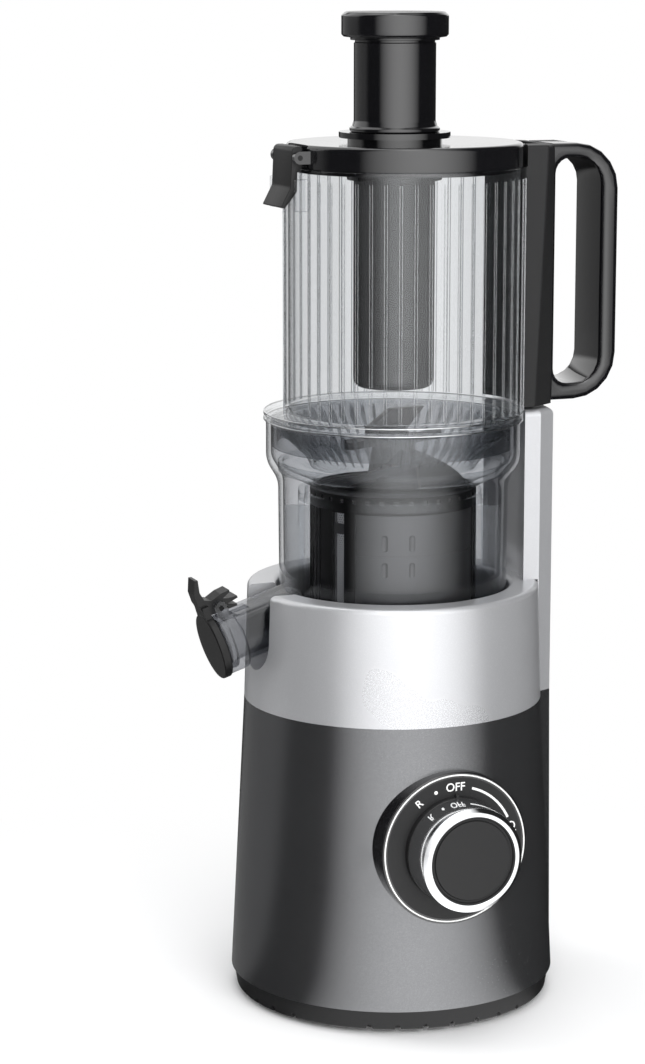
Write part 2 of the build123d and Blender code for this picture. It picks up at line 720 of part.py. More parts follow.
fan_z = 13.0
fan_height = 9.0
pinion_phase = 180 / motor_pinion_teeth
with BuildPart() as motor_shaft:
    with Locations((0, 0, fan_z - 1.0)):
        Cylinder(motor_shaft_radius, gears_z - fan_z, align=STANDING)
    with BuildSketch(Plane.XY.offset(gears_z - 1.0)):
        with BuildLine():
            Polyline(*gear_outline(motor_pinion_teeth, pinion_phase), close=True)
        make_face()
    extrude(amount=first_gear_width + 1.5)
save(motor_shaft.part, "motor_shaft")

with BuildPart() as cooling_fan:
    with Locations((0, 0, fan_z)):
        Cylinder(7.0, fan_height, align=STANDING)
        Cylinder(28.0, 1.2, align=STANDING)
        with PolarLocations(16.0, 9):
            with Locations(Location((0, 0, 0), (0, 0, 22))):
                Box(21.0, 1.4, fan_height, align=STANDING)
        Cylinder(motor_shaft_radius, fan_height, align=STANDING, mode=Mode.SUBTRACT)
save(cooling_fan.part, "cooling_fan")

# ---------------------------------------------------------------- electrics
board_x = -47.0
with BuildPart() as circuit_board:
    with Locations((board_x, 0, 34.0)):
        Box(1.6, 44, 46, align=STANDING)
    with Locations((board_x - 5.8, -10, 60)):
        Box(10, 12, 16)
    with Locations(Location((board_x - 6.8, 10, 66), (0, 90, 0))):
        Cylinder(5.5, 12)
    with Locations((board_x - 3.8, 8, 44)):
        Box(6, 20, 10)
save(circuit_board.part, "circuit_board")

switch_front_y = bezel_back_y - 1.0
with BuildPart() as rotary_switch:
    with Locations((0, -switch_front_y + 9.0, dial_height)):
        Box(24, 18, 24)
    fillet(rotary_switch.edges().filter_by(Axis.Y), 2.0)
    with BuildSketch(Plane.XZ.offset(switch_front_y)):
        with Locations((0, dial_height)):
            Circle(7.0)
    extrude(amount=bezel_depth - 2.5 + 1.0)
    with BuildSketch(Plane.XZ.offset(switch_front_y - 10)):
        with Locations((0, dial_height)):
            Circle(knob_shaft_radius + shaft_play)
    extrude(amount=60, mode=Mode.SUBTRACT)
    with Locations((0, -switch_front_y + 18.0, dial_height)):
        with GridLocations(6, 1, 3, 1):
            Box(0.8, 10, 4)
save(rotary_switch.part, "rotary_switch")

# ---------------------------------------------------------------- dial
bezel_wall = 2.2
bezel_face = 2.5
dial_face_radius = 32.6
dial_face_depth = 0.8
knob_back_y = bezel_face_y + slip

with BuildPart() as dial_bezel:
    with BuildSketch(Plane.XZ.offset(bezel_back_y)):
        with Locations((0, dial_height)):
            Circle(bezel_radius)
    extrude(amount=bezel_depth)
    fillet(dial_bezel.edges().group_by(Axis.Y)[0], 0.8)
    with BuildSketch(Plane.XZ.offset(bezel_back_y)):
        with Locations((0, dial_height)):
            Circle(bezel_radius - bezel_wall)
    extrude(amount=bezel_depth - bezel_face, mode=Mode.SUBTRACT)
    with BuildSketch(Plane.XZ.offset(bezel_face_y - dial_face_depth)):
        with Locations((0, dial_height)):
            Circle(dial_face_radius)
    extrude(amount=dial_face_depth, mode=Mode.SUBTRACT)
    with BuildSketch(Plane.XZ.offset(bezel_back_y)):
        with Locations((0, dial_height)):
            Circle(knob_shaft_radius + 1.0)
    extrude(amount=bezel_depth, mode=Mode.SUBTRACT)
save(dial_bezel.part, "dial_bezel")

with BuildPart() as dial_face:
    with BuildSketch(Plane.XZ.offset(bezel_face_y - dial_face_depth)):
        with Locations((0, dial_height)):
            Circle(dial_face_radius)
            Circle(knob_shaft_radius + 1.0, mode=Mode.SUBTRACT)
    extrude(amount=dial_face_depth)
save(dial_face.part, "dial_face")

# ---------------------------------------------------------------- knob
skirt_height = 3.0
rim_wall = 1.8
knob_front_y = bezel_face_y + knob_height
cap_recess = 1.0
with BuildPart() as knob:
    with BuildSketch(Plane.XZ.offset(knob_back_y)):
        with Locations((0, dial_height)):
            Circle(knob_skirt_radius)
    extrude(amount=skirt_height)
    fillet(knob.edges().group_by(Axis.Y)[0], 1.0)
    with BuildSketch(Plane.XZ.offset(knob_back_y + skirt_height)):
        with Locations((0, dial_height)):
            Circle(knob_radius - rim_wall)
    extrude(amount=knob_front_y - cap_recess - 1.6 - knob_back_y - skirt_height)
    # stem into the switch
    with BuildSketch(Plane.XZ.offset(switch_front_y - 10)):
        with Locations((0, dial_height)):
            Circle(knob_shaft_radius)
    extrude(amount=knob_back_y + 1 - switch_front_y + 10)
save(knob.part, "knob")

with BuildPart() as knob_rim:
    with BuildSketch(Plane.XZ.offset(knob_back_y + skirt_height)):
        with Locations((0, dial_height)):
            Circle(knob_radius)
            Circle(knob_radius - rim_wall, mode=Mode.SUBTRACT)
    extrude(amount=knob_front_y - knob_back_y - skirt_height)
    fillet(knob_rim.edges().group_by(Axis.Y)[0], 0.8)
save(knob_rim.part, "knob_rim")

with BuildPart() as knob_cap:
    with BuildSketch(Plane.XZ.offset(knob_front_y - cap_recess - 1.6)):
        with Locations((0, dial_height)):
            Circle(knob_radius - rim_wall)
    extrude(amount=1.6)
save(knob_cap.part, "knob_cap")

# ================================================================ juice bowl
gasket_radius = 11.0
recess_low = 10.5
floor_radius = bowl_bore - 0.7
ear_half_gap = 5.0
ear_width = 3.0
knuckle_radius = 2.5
lip_web = 5.2
idler_centres = gear_module * (auger_gear_teeth + wiper_pinion_teeth) / 2
idler_angle = 225.0
idler_x = idler_centres * cos(radians(idler_angle))
idler_y = idler_centres * sin(radians(idler_angle))
ring_gear_teeth = auger_gear_teeth + 2 * wiper_pinion_teeth
idler_pin_radius = 3.0
gear_low = floor_top + 1.0
gear_high = floor_top + 6.6
strainer_z = floor_top + 8.2
strainer_floor = 2.4
basket_z = strainer_z + strainer_floor
pulp_y = idler_centres
ledge_seat = rim_z - strainer_ledge

# the spout's own axes: outwards along it, and square to that, upwards
spout_root = (-bowl_radius - 0.3, 0, spout_root_z)
outward = (-cos(radians(spout_tilt)), 0, -sin(radians(spout_tilt)))
spout_side = Plane(origin=spout_root, x_dir=outward, z_dir=(0, 1, 0))
spout_across = Plane(origin=spout_root, x_dir=(0, -1, 0), z_dir=outward)

# inside of the spout
with BuildSketch() as spout_hollow:
    with Locations((0, -spout_section / 2 + spout_wall)):
        Rectangle(spout_width - 2 * spout_wall, spout_section / 2 + recess_low - 1.6 - spout_wall,
                  align=(Align.CENTER, Align.MIN))
    fillet(spout_hollow.vertices().group_by(Axis.Y)[-1], 2.4)
    fillet(spout_hollow.vertices().group_by(Axis.Y)[0], spout_width / 2 - spout_wall - 0.1)

with BuildPart() as juice_bowl:
    with BuildSketch(Plane.XZ) as bowl_profile:
        with BuildLine():
            Polyline((bowl_foot_radius, bowl_z), (bowl_radius, rim_z - 28.0),
                     (bowl_rim_radius, rim_z - 18.0), (bowl_rim_radius, rim_z),
                     (rim_bore, rim_z), (rim_bore, rim_z - 16.0),
                     (strainer_rim_radius + 0.5, ledge_seat + 3.5),
                     (strainer_rim_radius + 0.5, ledge_seat), (bowl_bore, ledge_seat),
                     (floor_radius, floor_top), (floor_radius, bowl_z), close=True)
        make_face()
        fillet(bowl_profile.vertices().filter_by(
            lambda v: abs(abs(v.Y - rim_z + 23) - 5) < 0.1), 10.0)
    revolve(axis=Axis.Z)
    # ways out, for the juice and for the pulp
    with BuildSketch(spout_across.offset(-12.0)):
        add(spout_hollow.sketch)
    extrude(amount=20.0, mode=Mode.SUBTRACT)
    with Locations((0, pulp_y - 10.0, bowl_z)):
        Box(pulp_duct_width, pulp_reach, bowl_skirt, align=(Align.CENTER, Align.MIN, Align.MIN),
            mode=Mode.SUBTRACT)
save(juice_bowl.part, "juice_bowl")

with BuildPart() as juice_floor:
    with Locations((0, 0, floor_z)):
        Cylinder(floor_radius, bowl_floor, align=STANDING)
        Cylinder(gasket_radius, bowl_floor, align=STANDING, mode=Mode.SUBTRACT)
    with Locations((0, pulp_y, floor_z)):
        Cylinder(pulp_hole_radius, bowl_floor, align=STANDING, mode=Mode.SUBTRACT)
    # pin for the wiper's pinion
    with Locations((idler_x, idler_y, floor_top - 1)):
        Cylinder(idler_pin_radius, gear_high + 0.6 - floor_top + 1, align=STANDING)
save(juice_floor.part, "juice_floor")

with BuildPart() as juice_spout:
    # flat top, round bottom, then a round lip
    with BuildSketch(spout_across.offset(-7.0)) as spout_shape:
        Rectangle(spout_width, spout_section)
        fillet(spout_shape.vertices().group_by(Axis.Y)[-1], 4.0)
        fillet(spout_shape.vertices().group_by(Axis.Y)[0], spout_width / 2 - 0.1)
    extrude(amount=spout_length + 7.0)
    with BuildSketch(spout_across.offset(spout_length)):
        Circle(lip_radius)
    extrude(amount=lip_length)
    # ears for the flap's pin
    with BuildSketch(spout_side):
        with Locations((flap_pin_along, flap_pin_rise)):
            Circle(3.0)
            Rectangle(6.0, 8.0, align=(Align.CENTER, Align.MAX))
    extrude(amount=ear_half_gap + ear_width, both=True)
    with BuildSketch(spout_side):
        with Locations((16.0, recess_low)):
            Rectangle(12.6, 8.0, align=(Align.MIN, Align.MIN))
        with Locations((flap_pin_along, flap_pin_rise)):
            Rectangle(9.0, 5.5)
        with Locations((flap_pin_along, lip_radius)):
            Rectangle(9.0, 8.0, align=(Align.CENTER, Align.MIN))
    extrude(amount=ear_half_gap, both=True, mode=Mode.SUBTRACT)
    # up to the bowl's wall
    add(turned([(0, bowl_z), (bowl_foot_radius, bowl_z), (bowl_radius, rim_z - 28.0),
                (0, rim_z - 28.0)]), mode=Mode.SUBTRACT)
    with BuildSketch(spout_across.offset(-12.0)):
        add(spout_hollow.sketch)
    extrude(amount=12.0 + spout_length + lip_web, mode=Mode.SUBTRACT)
    with BuildSketch(spout_across.offset(spout_length + lip_web)):
        Circle(lip_bore)
    extrude(amount=lip_length, mode=Mode.SUBTRACT)
    with BuildSketch(spout_side):
        with Locations((flap_pin_along, flap_pin_rise)):
            Circle(flap_pin_radius)
    extrude(amount=20, both=True, mode=Mode.SUBTRACT)
save(juice_spout.part, "juice_spout")

# pulp duct under the bowl's floor
with BuildPart() as pulp_duct:
    with Locations((0, pulp_y - 10.0, bowl_z)):
        Box(pulp_duct_width, pulp_reach - pulp_y + 10.0, bowl_skirt,
            align=(Align.CENTER, Align.MIN, Align.MIN))
    with Locations((0, pulp_y - 10.0 + pulp_duct_wall, bowl_z + pulp_duct_wall)):
        Box(pulp_duct_width - 2 * pulp_duct_wall, pulp_reach, bowl_skirt - 2 * pulp_duct_wall,
            align=(Align.CENTER, Align.MIN, Align.MIN), mode=Mode.SUBTRACT)
    with Locations((0, pulp_y, bowl_z + pulp_duct_wall + 1)):
        Cylinder(pulp_hole_radius, 40, align=STANDING, mode=Mode.SUBTRACT)
save(pulp_duct.part, "pulp_duct")

with BuildPart() as bowl_gasket:
    add(turned([(drive_shaft_radius + slip, floor_z), (gasket_radius, floor_z),
                (gasket_radius, floor_top), (drive_shaft_radius + 1.5, floor_top),
                (drive_shaft_radius + slip, floor_top - 0.9)]))
save(bowl_gasket.part, "bowl_gasket")

# ---------------------------------------------------------------- drip flap
flap_z = spout_length + lip_length + 0.3
with BuildPart() as drip_pin:
    with BuildSketch(spout_side):
        with Locations((flap_pin_along, flap_pin_rise)):
            Circle(flap_pin_radius)
    extrude(amount=ear_half_gap + ear_width, both=True)
save(drip_pin.part, "drip_pin")

with BuildPart() as drip_flap:
    with BuildSketch(spout_across.offset(flap_z)):
        Circle(flap_radius)
    extrude(amount=flap_thickness)
    fillet(drip_flap.edges().filter_by(GeomType.CIRCLE), 0.8)
    # neck, then knuckle, web, lever and three claws
    with BuildSketch(spout_side):
        with Locations((flap_z + 0.7, 8.0)):
            Rectangle(3.0, 12.0, align=(Align.MIN, Align.MIN))
    extrude(amount=6.3, both=True)
    with BuildSketch(spout_side):
        with Locations((flap_pin_along, flap_pin_rise)):
            Circle(knuckle_radius)
        with BuildLine():
            Polyline((29.5, 15.3), (35.0, 15.3), (37.4, 17.5), (38.6, 22.0), (38.8, 27.0),
                     (36.6, 33.0), (35.2, 32.7), (36.1, 27.0), (35.2, 23.0), (32.0, 21.4),
                     (27.0, 22.9), (22.6, 23.2), (22.6, 22.2), (26.5, 20.6), (24.5, 19.8),
                     (19.9, 19.3), (19.9, 18.3), (25.0, 17.5), (24.4, 17.0), (21.0, 15.9),
                     (21.1, 14.9), (25.5, 15.0), (27.2, 15.8), close=True)
        make_face()
        with Locations((flap_pin_along, flap_pin_rise)):
            Circle(flap_pin_radius + shaft_play, mode=Mode.SUBTRACT)
    extrude(amount=4.6, both=True)
save(drip_flap.part, "drip_flap")

with BuildPart() as drip_seal:
    with BuildSketch(spout_across.offset(flap_z)):
        Circle(lip_bore - 0.5)
    with BuildSketch(spout_across.offset(flap_z - 2.6)):
        Circle(lip_bore - 2.3)
    loft()
save(drip_seal.part, "drip_seal")

# ---------------------------------------------------------------- strainer
rim_low = ledge_seat
rim_high = ledge_seat + strainer_rim_height
basket_top = ledge_seat - 6.5
window_rows = ((basket_z + 3.0, 43.0), (basket_z + 50.5, 13.0))
window_half_angle = 42.0
bar_step = 21.0
sleeve_wall = 1.4
with BuildPart() as strainer_frame:
    add(turned([(17.5, strainer_z), (strainer_radius, strainer_z), (strainer_radius, basket_top),
                (bowl_bore - 0.5, rim_low), (strainer_rim_radius, rim_low),
                (strainer_rim_radius, rim_high), (strainer_rim_radius - 2, rim_high),
                (strainer_rim_radius - 2, rim_high - 2.4),
                (strainer_radius - strainer_wall, basket_top + 2.4),
                (strainer_radius - strainer_wall, basket_z), (17.5, basket_z)]))
    # windows with upright bars, on the two long sides
    for window_z, window_height in window_rows:
        for side in (0, 180):
            for window in range(4):
                middle = side - window_half_angle + bar_step * (window + 0.5)
                half = radians(bar_step / 2 - 1.6)
                turn = radians(middle)
                with BuildSketch(Plane.XY.offset(window_z)):
                    with BuildLine():
                        Polyline((30 * cos(turn - half), 30 * sin(turn - half)),
                                 (40 * cos(turn - half), 40 * sin(turn - half)),
                                 (40 * cos(turn + half), 40 * sin(turn + half)),
                                 (30 * cos(turn + half), 30 * sin(turn + half)), close=True)
                    make_face()
                extrude(amount=window_height, mode=Mode.SUBTRACT)
    # sleeve down to the pulp hole
    with Locations((0, pulp_y, floor_top + 0.1)):
        Cylinder(pulp_hole_radius + sleeve_wall, strainer_z - floor_top, align=STANDING)
        Cylinder(pulp_hole_radius, 30, align=STANDING, mode=Mode.SUBTRACT)
save(strainer_frame.part, "strainer_frame")

with BuildPart() as strainer_mesh:
    add(turned([(strainer_radius - strainer_wall - mesh_wall, basket_z),
                (strainer_radius - strainer_wall, basket_z),
                (strainer_radius - strainer_wall, basket_top + 2.0),
                (strainer_radius - strainer_wall - mesh_wall, basket_top + 2.0)]))
save(strainer_mesh.part, "strainer_mesh")

# ---------------------------------------------------------------- wiper
wiper_ring_low = gear_low - 0.2
wiper_ring_high = gear_high + 0.2
wiper_top = basket_top - 2.0
post_inner = wiper_radius - 3.0
blade_low = basket_z + 1.0
blade_high = wiper_top - 8.0
blade_thickness = 1.4
with BuildPart() as wiper_frame:
    with BuildSketch(Plane.XY.offset(wiper_ring_low)):
        Circle(wiper_radius)
        with BuildLine():
            Polyline(*gear_outline(ring_gear_teeth, idler_angle - 180 / ring_gear_teeth + 0.0,
                                   1.25, 0.85, -gear_backlash), close=True)
        make_face(mode=Mode.SUBTRACT)
    extrude(amount=wiper_ring_high - wiper_ring_low)
    with BuildSketch(Plane.XY.offset(wiper_top - 4.0)):
        Circle(wiper_radius)
        Circle(post_inner, mode=Mode.SUBTRACT)
    extrude(amount=4.0)
    for post_angle in wiper_post_angles:
        with BuildSketch(Plane.XY.offset(wiper_ring_low)):
            with Locations(Location((0, 0, 0), (0, 0, post_angle))):
                with Locations(((post_inner + wiper_radius) / 2, 0)):
                    Rectangle(wiper_radius - post_inner - 0.2, 7.0)
        extrude(amount=wiper_top - wiper_ring_low - 1.0)
        with BuildSketch(Plane.XY.offset(blade_low)):
            with Locations(Location((0, 0, 0), (0, 0, post_angle))):
                with Locations((wiper_radius, 0)):
                    Rectangle(14.0, blade_thickness)
        extrude(amount=blade_high - blade_low, mode=Mode.SUBTRACT)
save(wiper_frame.part, "wiper_frame")

with BuildPart() as wiper_blades:
    with BuildSketch(Plane.XY.offset(blade_low)):
        for post_angle in wiper_post_angles:
            with Locations(Location((0, 0, 0), (0, 0, post_angle))):
                with Locations((strainer_radius + 0.4, 0)):
                    Rectangle(bowl_bore - strainer_radius - 1.6, blade_thickness,
                              align=(Align.MIN, Align.CENTER))
    extrude(amount=blade_high - blade_low)
save(wiper_blades.part, "wiper_blades")

with BuildPart() as wiper_pinion:
    with BuildSketch(Plane.XY.offset(gear_low)):
        with BuildLine():
            Polyline(*gear_outline(wiper_pinion_teeth, idler_angle + 180
                                   + 180 / wiper_pinion_teeth), close=True)
        make_face()
        Circle(idler_pin_radius + shaft_play, mode=Mode.SUBTRACT)
    extrude(amount=gear_high - gear_low)
wiper_pinion_part = wiper_pinion.part.moved(Location((idler_x, idler_y, 0)))
save(wiper_pinion_part, "wiper_pinion")

# ---------------------------------------------------------------- auger
auger_flange_z = basket_z + 1.2
auger_radius = strainer_radius - strainer_wall - mesh_wall - auger_clearance
core_top = rim_high + 7.5
flight_foot = auger_flange_z + 1.0
with BuildPart() as auger:
    with BuildSketch(Plane.XY.offset(gear_low)):
        with BuildLine():
            Polyline(*gear_outline(auger_gear_teeth, idler_angle), close=True)
        make_face()
    extrude(amount=gear_high - gear_low)
    add(turned([(0, gear_high - 1), (13.4, gear_high - 1), (13.4, auger_flange_z),
                (auger_radius, auger_flange_z), (auger_radius, auger_flange_z + 3.0),
                (21.0, auger_flange_z + 3.0), (9.5, core_top), (0, core_top)]))
    for flight_start in (0, 180):
        flight_line = Helix(pitch=auger_pitch, height=core_top - flight_foot - 3.0, radius=20,
                            center=(0, 0, flight_foot), direction=(0, 0, 1))
        with BuildPart(mode=Mode.PRIVATE) as flight:
            with BuildSketch(Plane(origin=flight_line @ 0, x_dir=(1, 0, 0),
                                   z_dir=flight_line % 0)):
                Rectangle(2 * (auger_radius - 20) - 1.0, 3.4)
            sweep(path=flight_line, is_frenet=True)
        add(flight.part.rotate(Axis.Z, flight_start))
    with Locations((0, 0, gear_low)):
        Cylinder(auger_socket_radius, 28.0, align=STANDING, mode=Mode.SUBTRACT)
save(auger.part, "auger")

with BuildPart() as auger_socket:
    with Locations((0, 0, gear_low + 0.3)):
        Cylinder(auger_socket_radius, 27.7, align=STANDING)
    with BuildSketch(Plane.XY.offset(gear_low)):
        RegularPolygon(drive_hex / 2 + 0.25, 6, major_radius=False)
    extrude(amount=hex_top + 1.0 - gear_low, mode=Mode.SUBTRACT)
save(auger_socket.part, "auger_socket")

feed_z = core_top
feed_wing = ((2, -7), (27, -2.5), (32.5, 4.5), (29, 7), (20, 3.2), (4, 6))
with BuildPart() as feed_blade:
    with Locations((0, 0, feed_z)):
        Cylinder(9.0, 12.0, align=STANDING)
    fillet(feed_blade.edges().group_by(Axis.Z)[-1], 4.0)
    for wing_side, wing_height in ((0, 5.0), (180, 8.0)):
        with BuildSketch(Plane.XY.offset(feed_z)):
            with Locations(Location((0, 0, 0), (0, 0, wing_side))):
                Polygon(*feed_wing, align=None)
        extrude(amount=wing_height)
    # hook that pulls the food down
    with BuildSketch(Plane.XZ.offset(-3.0)):
        Polygon((-4, feed_z + 4), (-26, feed_z + 6), (-22, feed_z + 14), (-12, feed_z + 15.5),
                (4, feed_z + 9), align=None)
    extrude(amount=5.0)
save(feed_blade.part, "feed_blade")

# ================================================================ hopper
hopper_centre = (hopper_shift, 0)
skirt_radius = rim_bore - slip
funnel_z = rim_high + 2.0
funnel_bore = 36.0
rib_count = 52
rib_low = hopper_z + 2.4
rib_high = hopper_top - 5.0
lug_z = hopper_top - 18.0
with BuildPart() as hopper:
    with BuildSketch(Plane.XY.offset(flange_z)):
        Circle(flange_radius)
    extrude(amount=flange_height)
    fillet(hopper.edges().group_by(Axis.Z)[-1], 1.2)
    add(turned([(0, flange_z - 12.0), (skirt_radius, flange_z - 12.0), (skirt_radius, flange_z + 1),
                (0, flange_z + 1)]))
    add(turned([(0, flange_z - 12.5), (skirt_radius - 2.4, flange_z - 12.5),
                (skirt_radius - 2.4, flange_z), (0, flange_z)]), mode=Mode.SUBTRACT)
    with BuildSketch(Plane.XY.offset(funnel_z)):
        Circle(funnel_bore + 2.4)
    with BuildSketch(Plane.XY.offset(hopper_z - 1.0)):
        with Locations(hopper_centre):
            Circle(hopper_radius - 1.0)
    loft(ruled=True)
    with BuildSketch(Plane.XY.offset(flange_z + 1.0)):
        with Locations(hopper_centre):
            Circle(hopper_radius)
    extrude(amount=hopper_top - flange_z - 1.0)
    # grip ribs, left out beside the handle and the latch
    with BuildSketch(Plane.XY.offset(rib_low)):
        with Locations(hopper_centre):
            for rib in range(rib_count):
                rib_angle = (rib + 0.5) * 360 / rib_count
                if 25 < rib_angle < 168 or 192 < rib_angle < 335:
                    with Locations(Location((0, 0, 0), (0, 0, rib_angle))):
                        with Locations((hopper_radius - 0.3, 0)):
                            Rectangle(1.6, 1.4)
    extrude(amount=rib_high - rib_low)
    # lugs for the lid's latch
    with Locations((hopper_shift - hopper_radius - 0.6, -15.25, lug_z),
                   (hopper_shift - hopper_radius - 0.6, 15.25, lug_z)):
        Box(8.0, 3.5, 14.0, align=STANDING)
    with BuildSketch(Plane.XY.offset(funnel_z)):
        Circle(funnel_bore)
    with BuildSketch(Plane.XY.offset(hopper_z)):
        with Locations(hopper_centre):
            Circle(hopper_bore)
    loft(ruled=True, mode=Mode.SUBTRACT)
    with BuildSketch(Plane.XY.offset(hopper_z)):
        with Locations(hopper_centre):
            Circle(hopper_bore)
    extrude(amount=hopper_height + 1, mode=Mode.SUBTRACT)
save(hopper.part, "hopper")

# ---------------------------------------------------------------- handle
hinge_pin_radius = 1.5
tongue_half = 10.0
with BuildPart() as handle_block:
    block_plans = ((handle_z, handle_face_x - 11.9), (handle_top, handle_face_x - 6.4))
    for plan_z, corner_x in block_plans:
        with BuildSketch(Plane.XY.offset(plan_z)):
            Polygon((50, -column_half_width), (corner_x, -column_half_width),
                    (handle_face_x, -handle_face_y), (handle_face_x, handle_face_y),
                    (corner_x, column_half_width), (50, column_half_width), align=None)
    loft(ruled=True)
    fillet(handle_block.edges().filter_by(lambda e: e.center().X > hinge_x
                                          and e.length > 100), 2.0)
    fillet(handle_block.faces().sort_by(Axis.Z)[-1].edges().filter_by(
        lambda e: e.center().X > 58), 1.5)
    # round the hopper, and more loosely round the lid
    with BuildSketch(Plane.XY.offset(handle_z)):
        with Locations(hopper_centre):
            Circle(hopper_radius)
    extrude(amount=handle_top - handle_z, mode=Mode.SUBTRACT)
    with BuildSketch(Plane.XY.offset(lid_z - 0.6)):
        with Locations(hopper_centre):
            Circle(lid_radius + 1.7)
    extrude(amount=20, mode=Mode.SUBTRACT)
    # slot for the lid's tongue
    with Locations((hinge_x, 0, lid_z + 0.9)):
        Box(8.4, 2 * tongue_half + 0.8, 20, align=STANDING, mode=Mode.SUBTRACT)
    with BuildSketch(Plane.XZ.offset(-30)):
        with Locations((hinge_x, hinge_z)):
            Circle(hinge_pin_radius)
    extrude(amount=46, mode=Mode.SUBTRACT)
    # peg that closes the interlock
    with Locations((plunger_x, 0, column_top - plunger_travel)):
        Cylinder(2.6, handle_gap + plunger_travel + 0.5, align=STANDING)
save(handle_block.part, "handle_block")

grip_low = handle_z + 1.0
grip_high = handle_top
grip_x = handle_face_x + handle_reach
with BuildPart() as handle_grip:
    with BuildSketch(Plane.XZ.offset(-grip_half_width)) as grip_shape:
        with BuildLine():
            Polyline((handle_face_x, grip_low), (grip_x, grip_low), (grip_x, grip_high),
                     (handle_face_x, grip_high), close=True)
        make_face()
        fillet(grip_shape.vertices().group_by(Axis.X)[-1], grip_outer_round)
    extrude(amount=2 * grip_half_width)
    with BuildSketch(Plane.XZ.offset(-grip_half_width)) as finger_shape:
        with BuildLine():
            Polyline((handle_face_x - 9, grip_low + 7.6), (grip_x - handle_bar, grip_low + 7.6),
                     (grip_x - handle_bar, grip_high - 6.8), (handle_face_x - 9, grip_high - 6.8),
                     close=True)
        make_face()
        fillet(finger_shape.vertices().group_by(Axis.X)[-1], 12.0)
    extrude(amount=2 * grip_half_width, mode=Mode.SUBTRACT)
    fillet(handle_grip.edges().filter_by(
        lambda e: abs(abs(e.center().Y) - grip_half_width) < 0.01
        and e.center().X > handle_face_x + 0.1), 2.9)
save(handle_grip.part, "handle_grip")

with BuildPart() as hinge_pin:
    with BuildSketch(Plane.XZ.offset(-16)):
        with Locations((hinge_x, hinge_z)):
            Circle(hinge_pin_radius)
    extrude(amount=32)
save(hinge_pin.part, "hinge_pin")

# ---------------------------------------------------------------- lid
plate_low = lid_top - 3.0
chute_wall = 2.5
latch_pin_x = hopper_shift - lid_radius - 2.6
latch_pin_radius = 1.2
latch_half = 12.0
latch_notch_x = -46.0
with BuildPart() as lid:
    with BuildSketch(Plane.XY.offset(lid_z)):
        with Locations(hopper_centre):
            Circle(lid_radius)
    extrude(amount=lid_height)
    fillet(lid.edges().group_by(Axis.Z)[-1], 2.0)
    with BuildSketch(Plane.XY.offset(lid_z)):
        with Locations(hopper_centre):
            Circle(lid_radius - 3.0)
    extrude(amount=plate_low - lid_z, mode=Mode.SUBTRACT)
    # chute through the plate, with its ring on top
    add(turned([(chute_bore, lid_z - 6.4), (chute_bore + chute_wall, lid_z - 6.4),
                (chute_bore + chute_wall, chute_top - 2.6), (chute_ring_radius, chute_top - 2.6),
                (chute_ring_radius, chute_top), (chute_bore, chute_top)]))
    with Locations((0, 0, lid_z - 10)):
        Cylinder(chute_bore, 60, align=STANDING, mode=Mode.SUBTRACT)
    # room for the latch, between two ears
    with Locations((latch_notch_x, 0, lid_z - 1)):
        Box(20, 2 * latch_half + 0.8, 30, align=(Align.MAX, Align.CENTER, Align.MIN),
            mode=Mode.SUBTRACT)
    with Locations((latch_notch_x, 0, lid_z + 1.0)):
        Box(2.4, 2 * latch_half + 1.2, lid_height - 2.0,
            align=(Align.MIN, Align.CENTER, Align.MIN))
    with BuildSketch(Plane.XZ.offset(-latch_half - 3.2)):
        with Locations((latch_pin_x, hinge_z)):
            Circle(2.8)
            Rectangle(7.6, 5.6, align=(Align.MIN, Align.CENTER))
    extrude(amount=2 * latch_half + 6.4)
    with Locations((latch_notch_x, 0, lid_z - 1)):
        Box(20, 2 * latch_half + 0.8, 30, align=(Align.MAX, Align.CENTER, Align.MIN),
            mode=Mode.SUBTRACT)
    with BuildSketch(Plane.XZ.offset(-30)):
        with Locations((latch_pin_x, hinge_z)):
            Circle(latch_pin_radius)
    extrude(amount=60, mode=Mode.SUBTRACT)
    # hinge tongue
    with BuildSketch(Plane.XZ.offset(-tongue_half)):
        with Locations((hinge_x, hinge_z)):
            Circle(3.2)
        with Locations((hopper_shift + lid_radius - 2.0, hinge_z - 1.0)):
            Rectangle(hinge_x - hopper_shift - lid_radius + 2.0, 4.2,
                      align=(Align.MIN, Align.MIN))
        with Locations((hinge_x, hinge_z)):
            Circle(hinge_pin_radius + shaft_play, mode=Mode.SUBTRACT)
    extrude(amount=2 * tongue_half)
save(lid.part, "lid")

skirt_outer = lid_radius - 3.0
with BuildPart() as lid_skirt:
    with BuildSketch(Plane.XY.offset(lid_z - 8.4)):
        with Locations(hopper_centre):
            Circle(skirt_outer)
            Circle(skirt_outer - 1.6, mode=Mode.SUBTRACT)
    extrude(amount=plate_low - lid_z + 8.4)
    with Locations((latch_notch_x + 2.8, 0, lid_z)):
        Box(20, 2 * latch_half + 8.0, 30, align=(Align.MAX, Align.CENTER, Align.MIN),
            mode=Mode.SUBTRACT)
    with Locations((hinge_x, 0, lid_z + 1)):
        Box(20, 2 * tongue_half + 1, 30, align=STANDING, mode=Mode.SUBTRACT)
save(lid_skirt.part, "lid_skirt")

with BuildPart() as latch_pin:
    with BuildSketch(Plane.XZ.offset(-latch_half - 3.2)):
        with Locations((latch_pin_x, hinge_z)):
            Circle(latch_pin_radius)
    extrude(amount=2 * latch_half + 6.4)
save(latch_pin.part, "latch_pin")

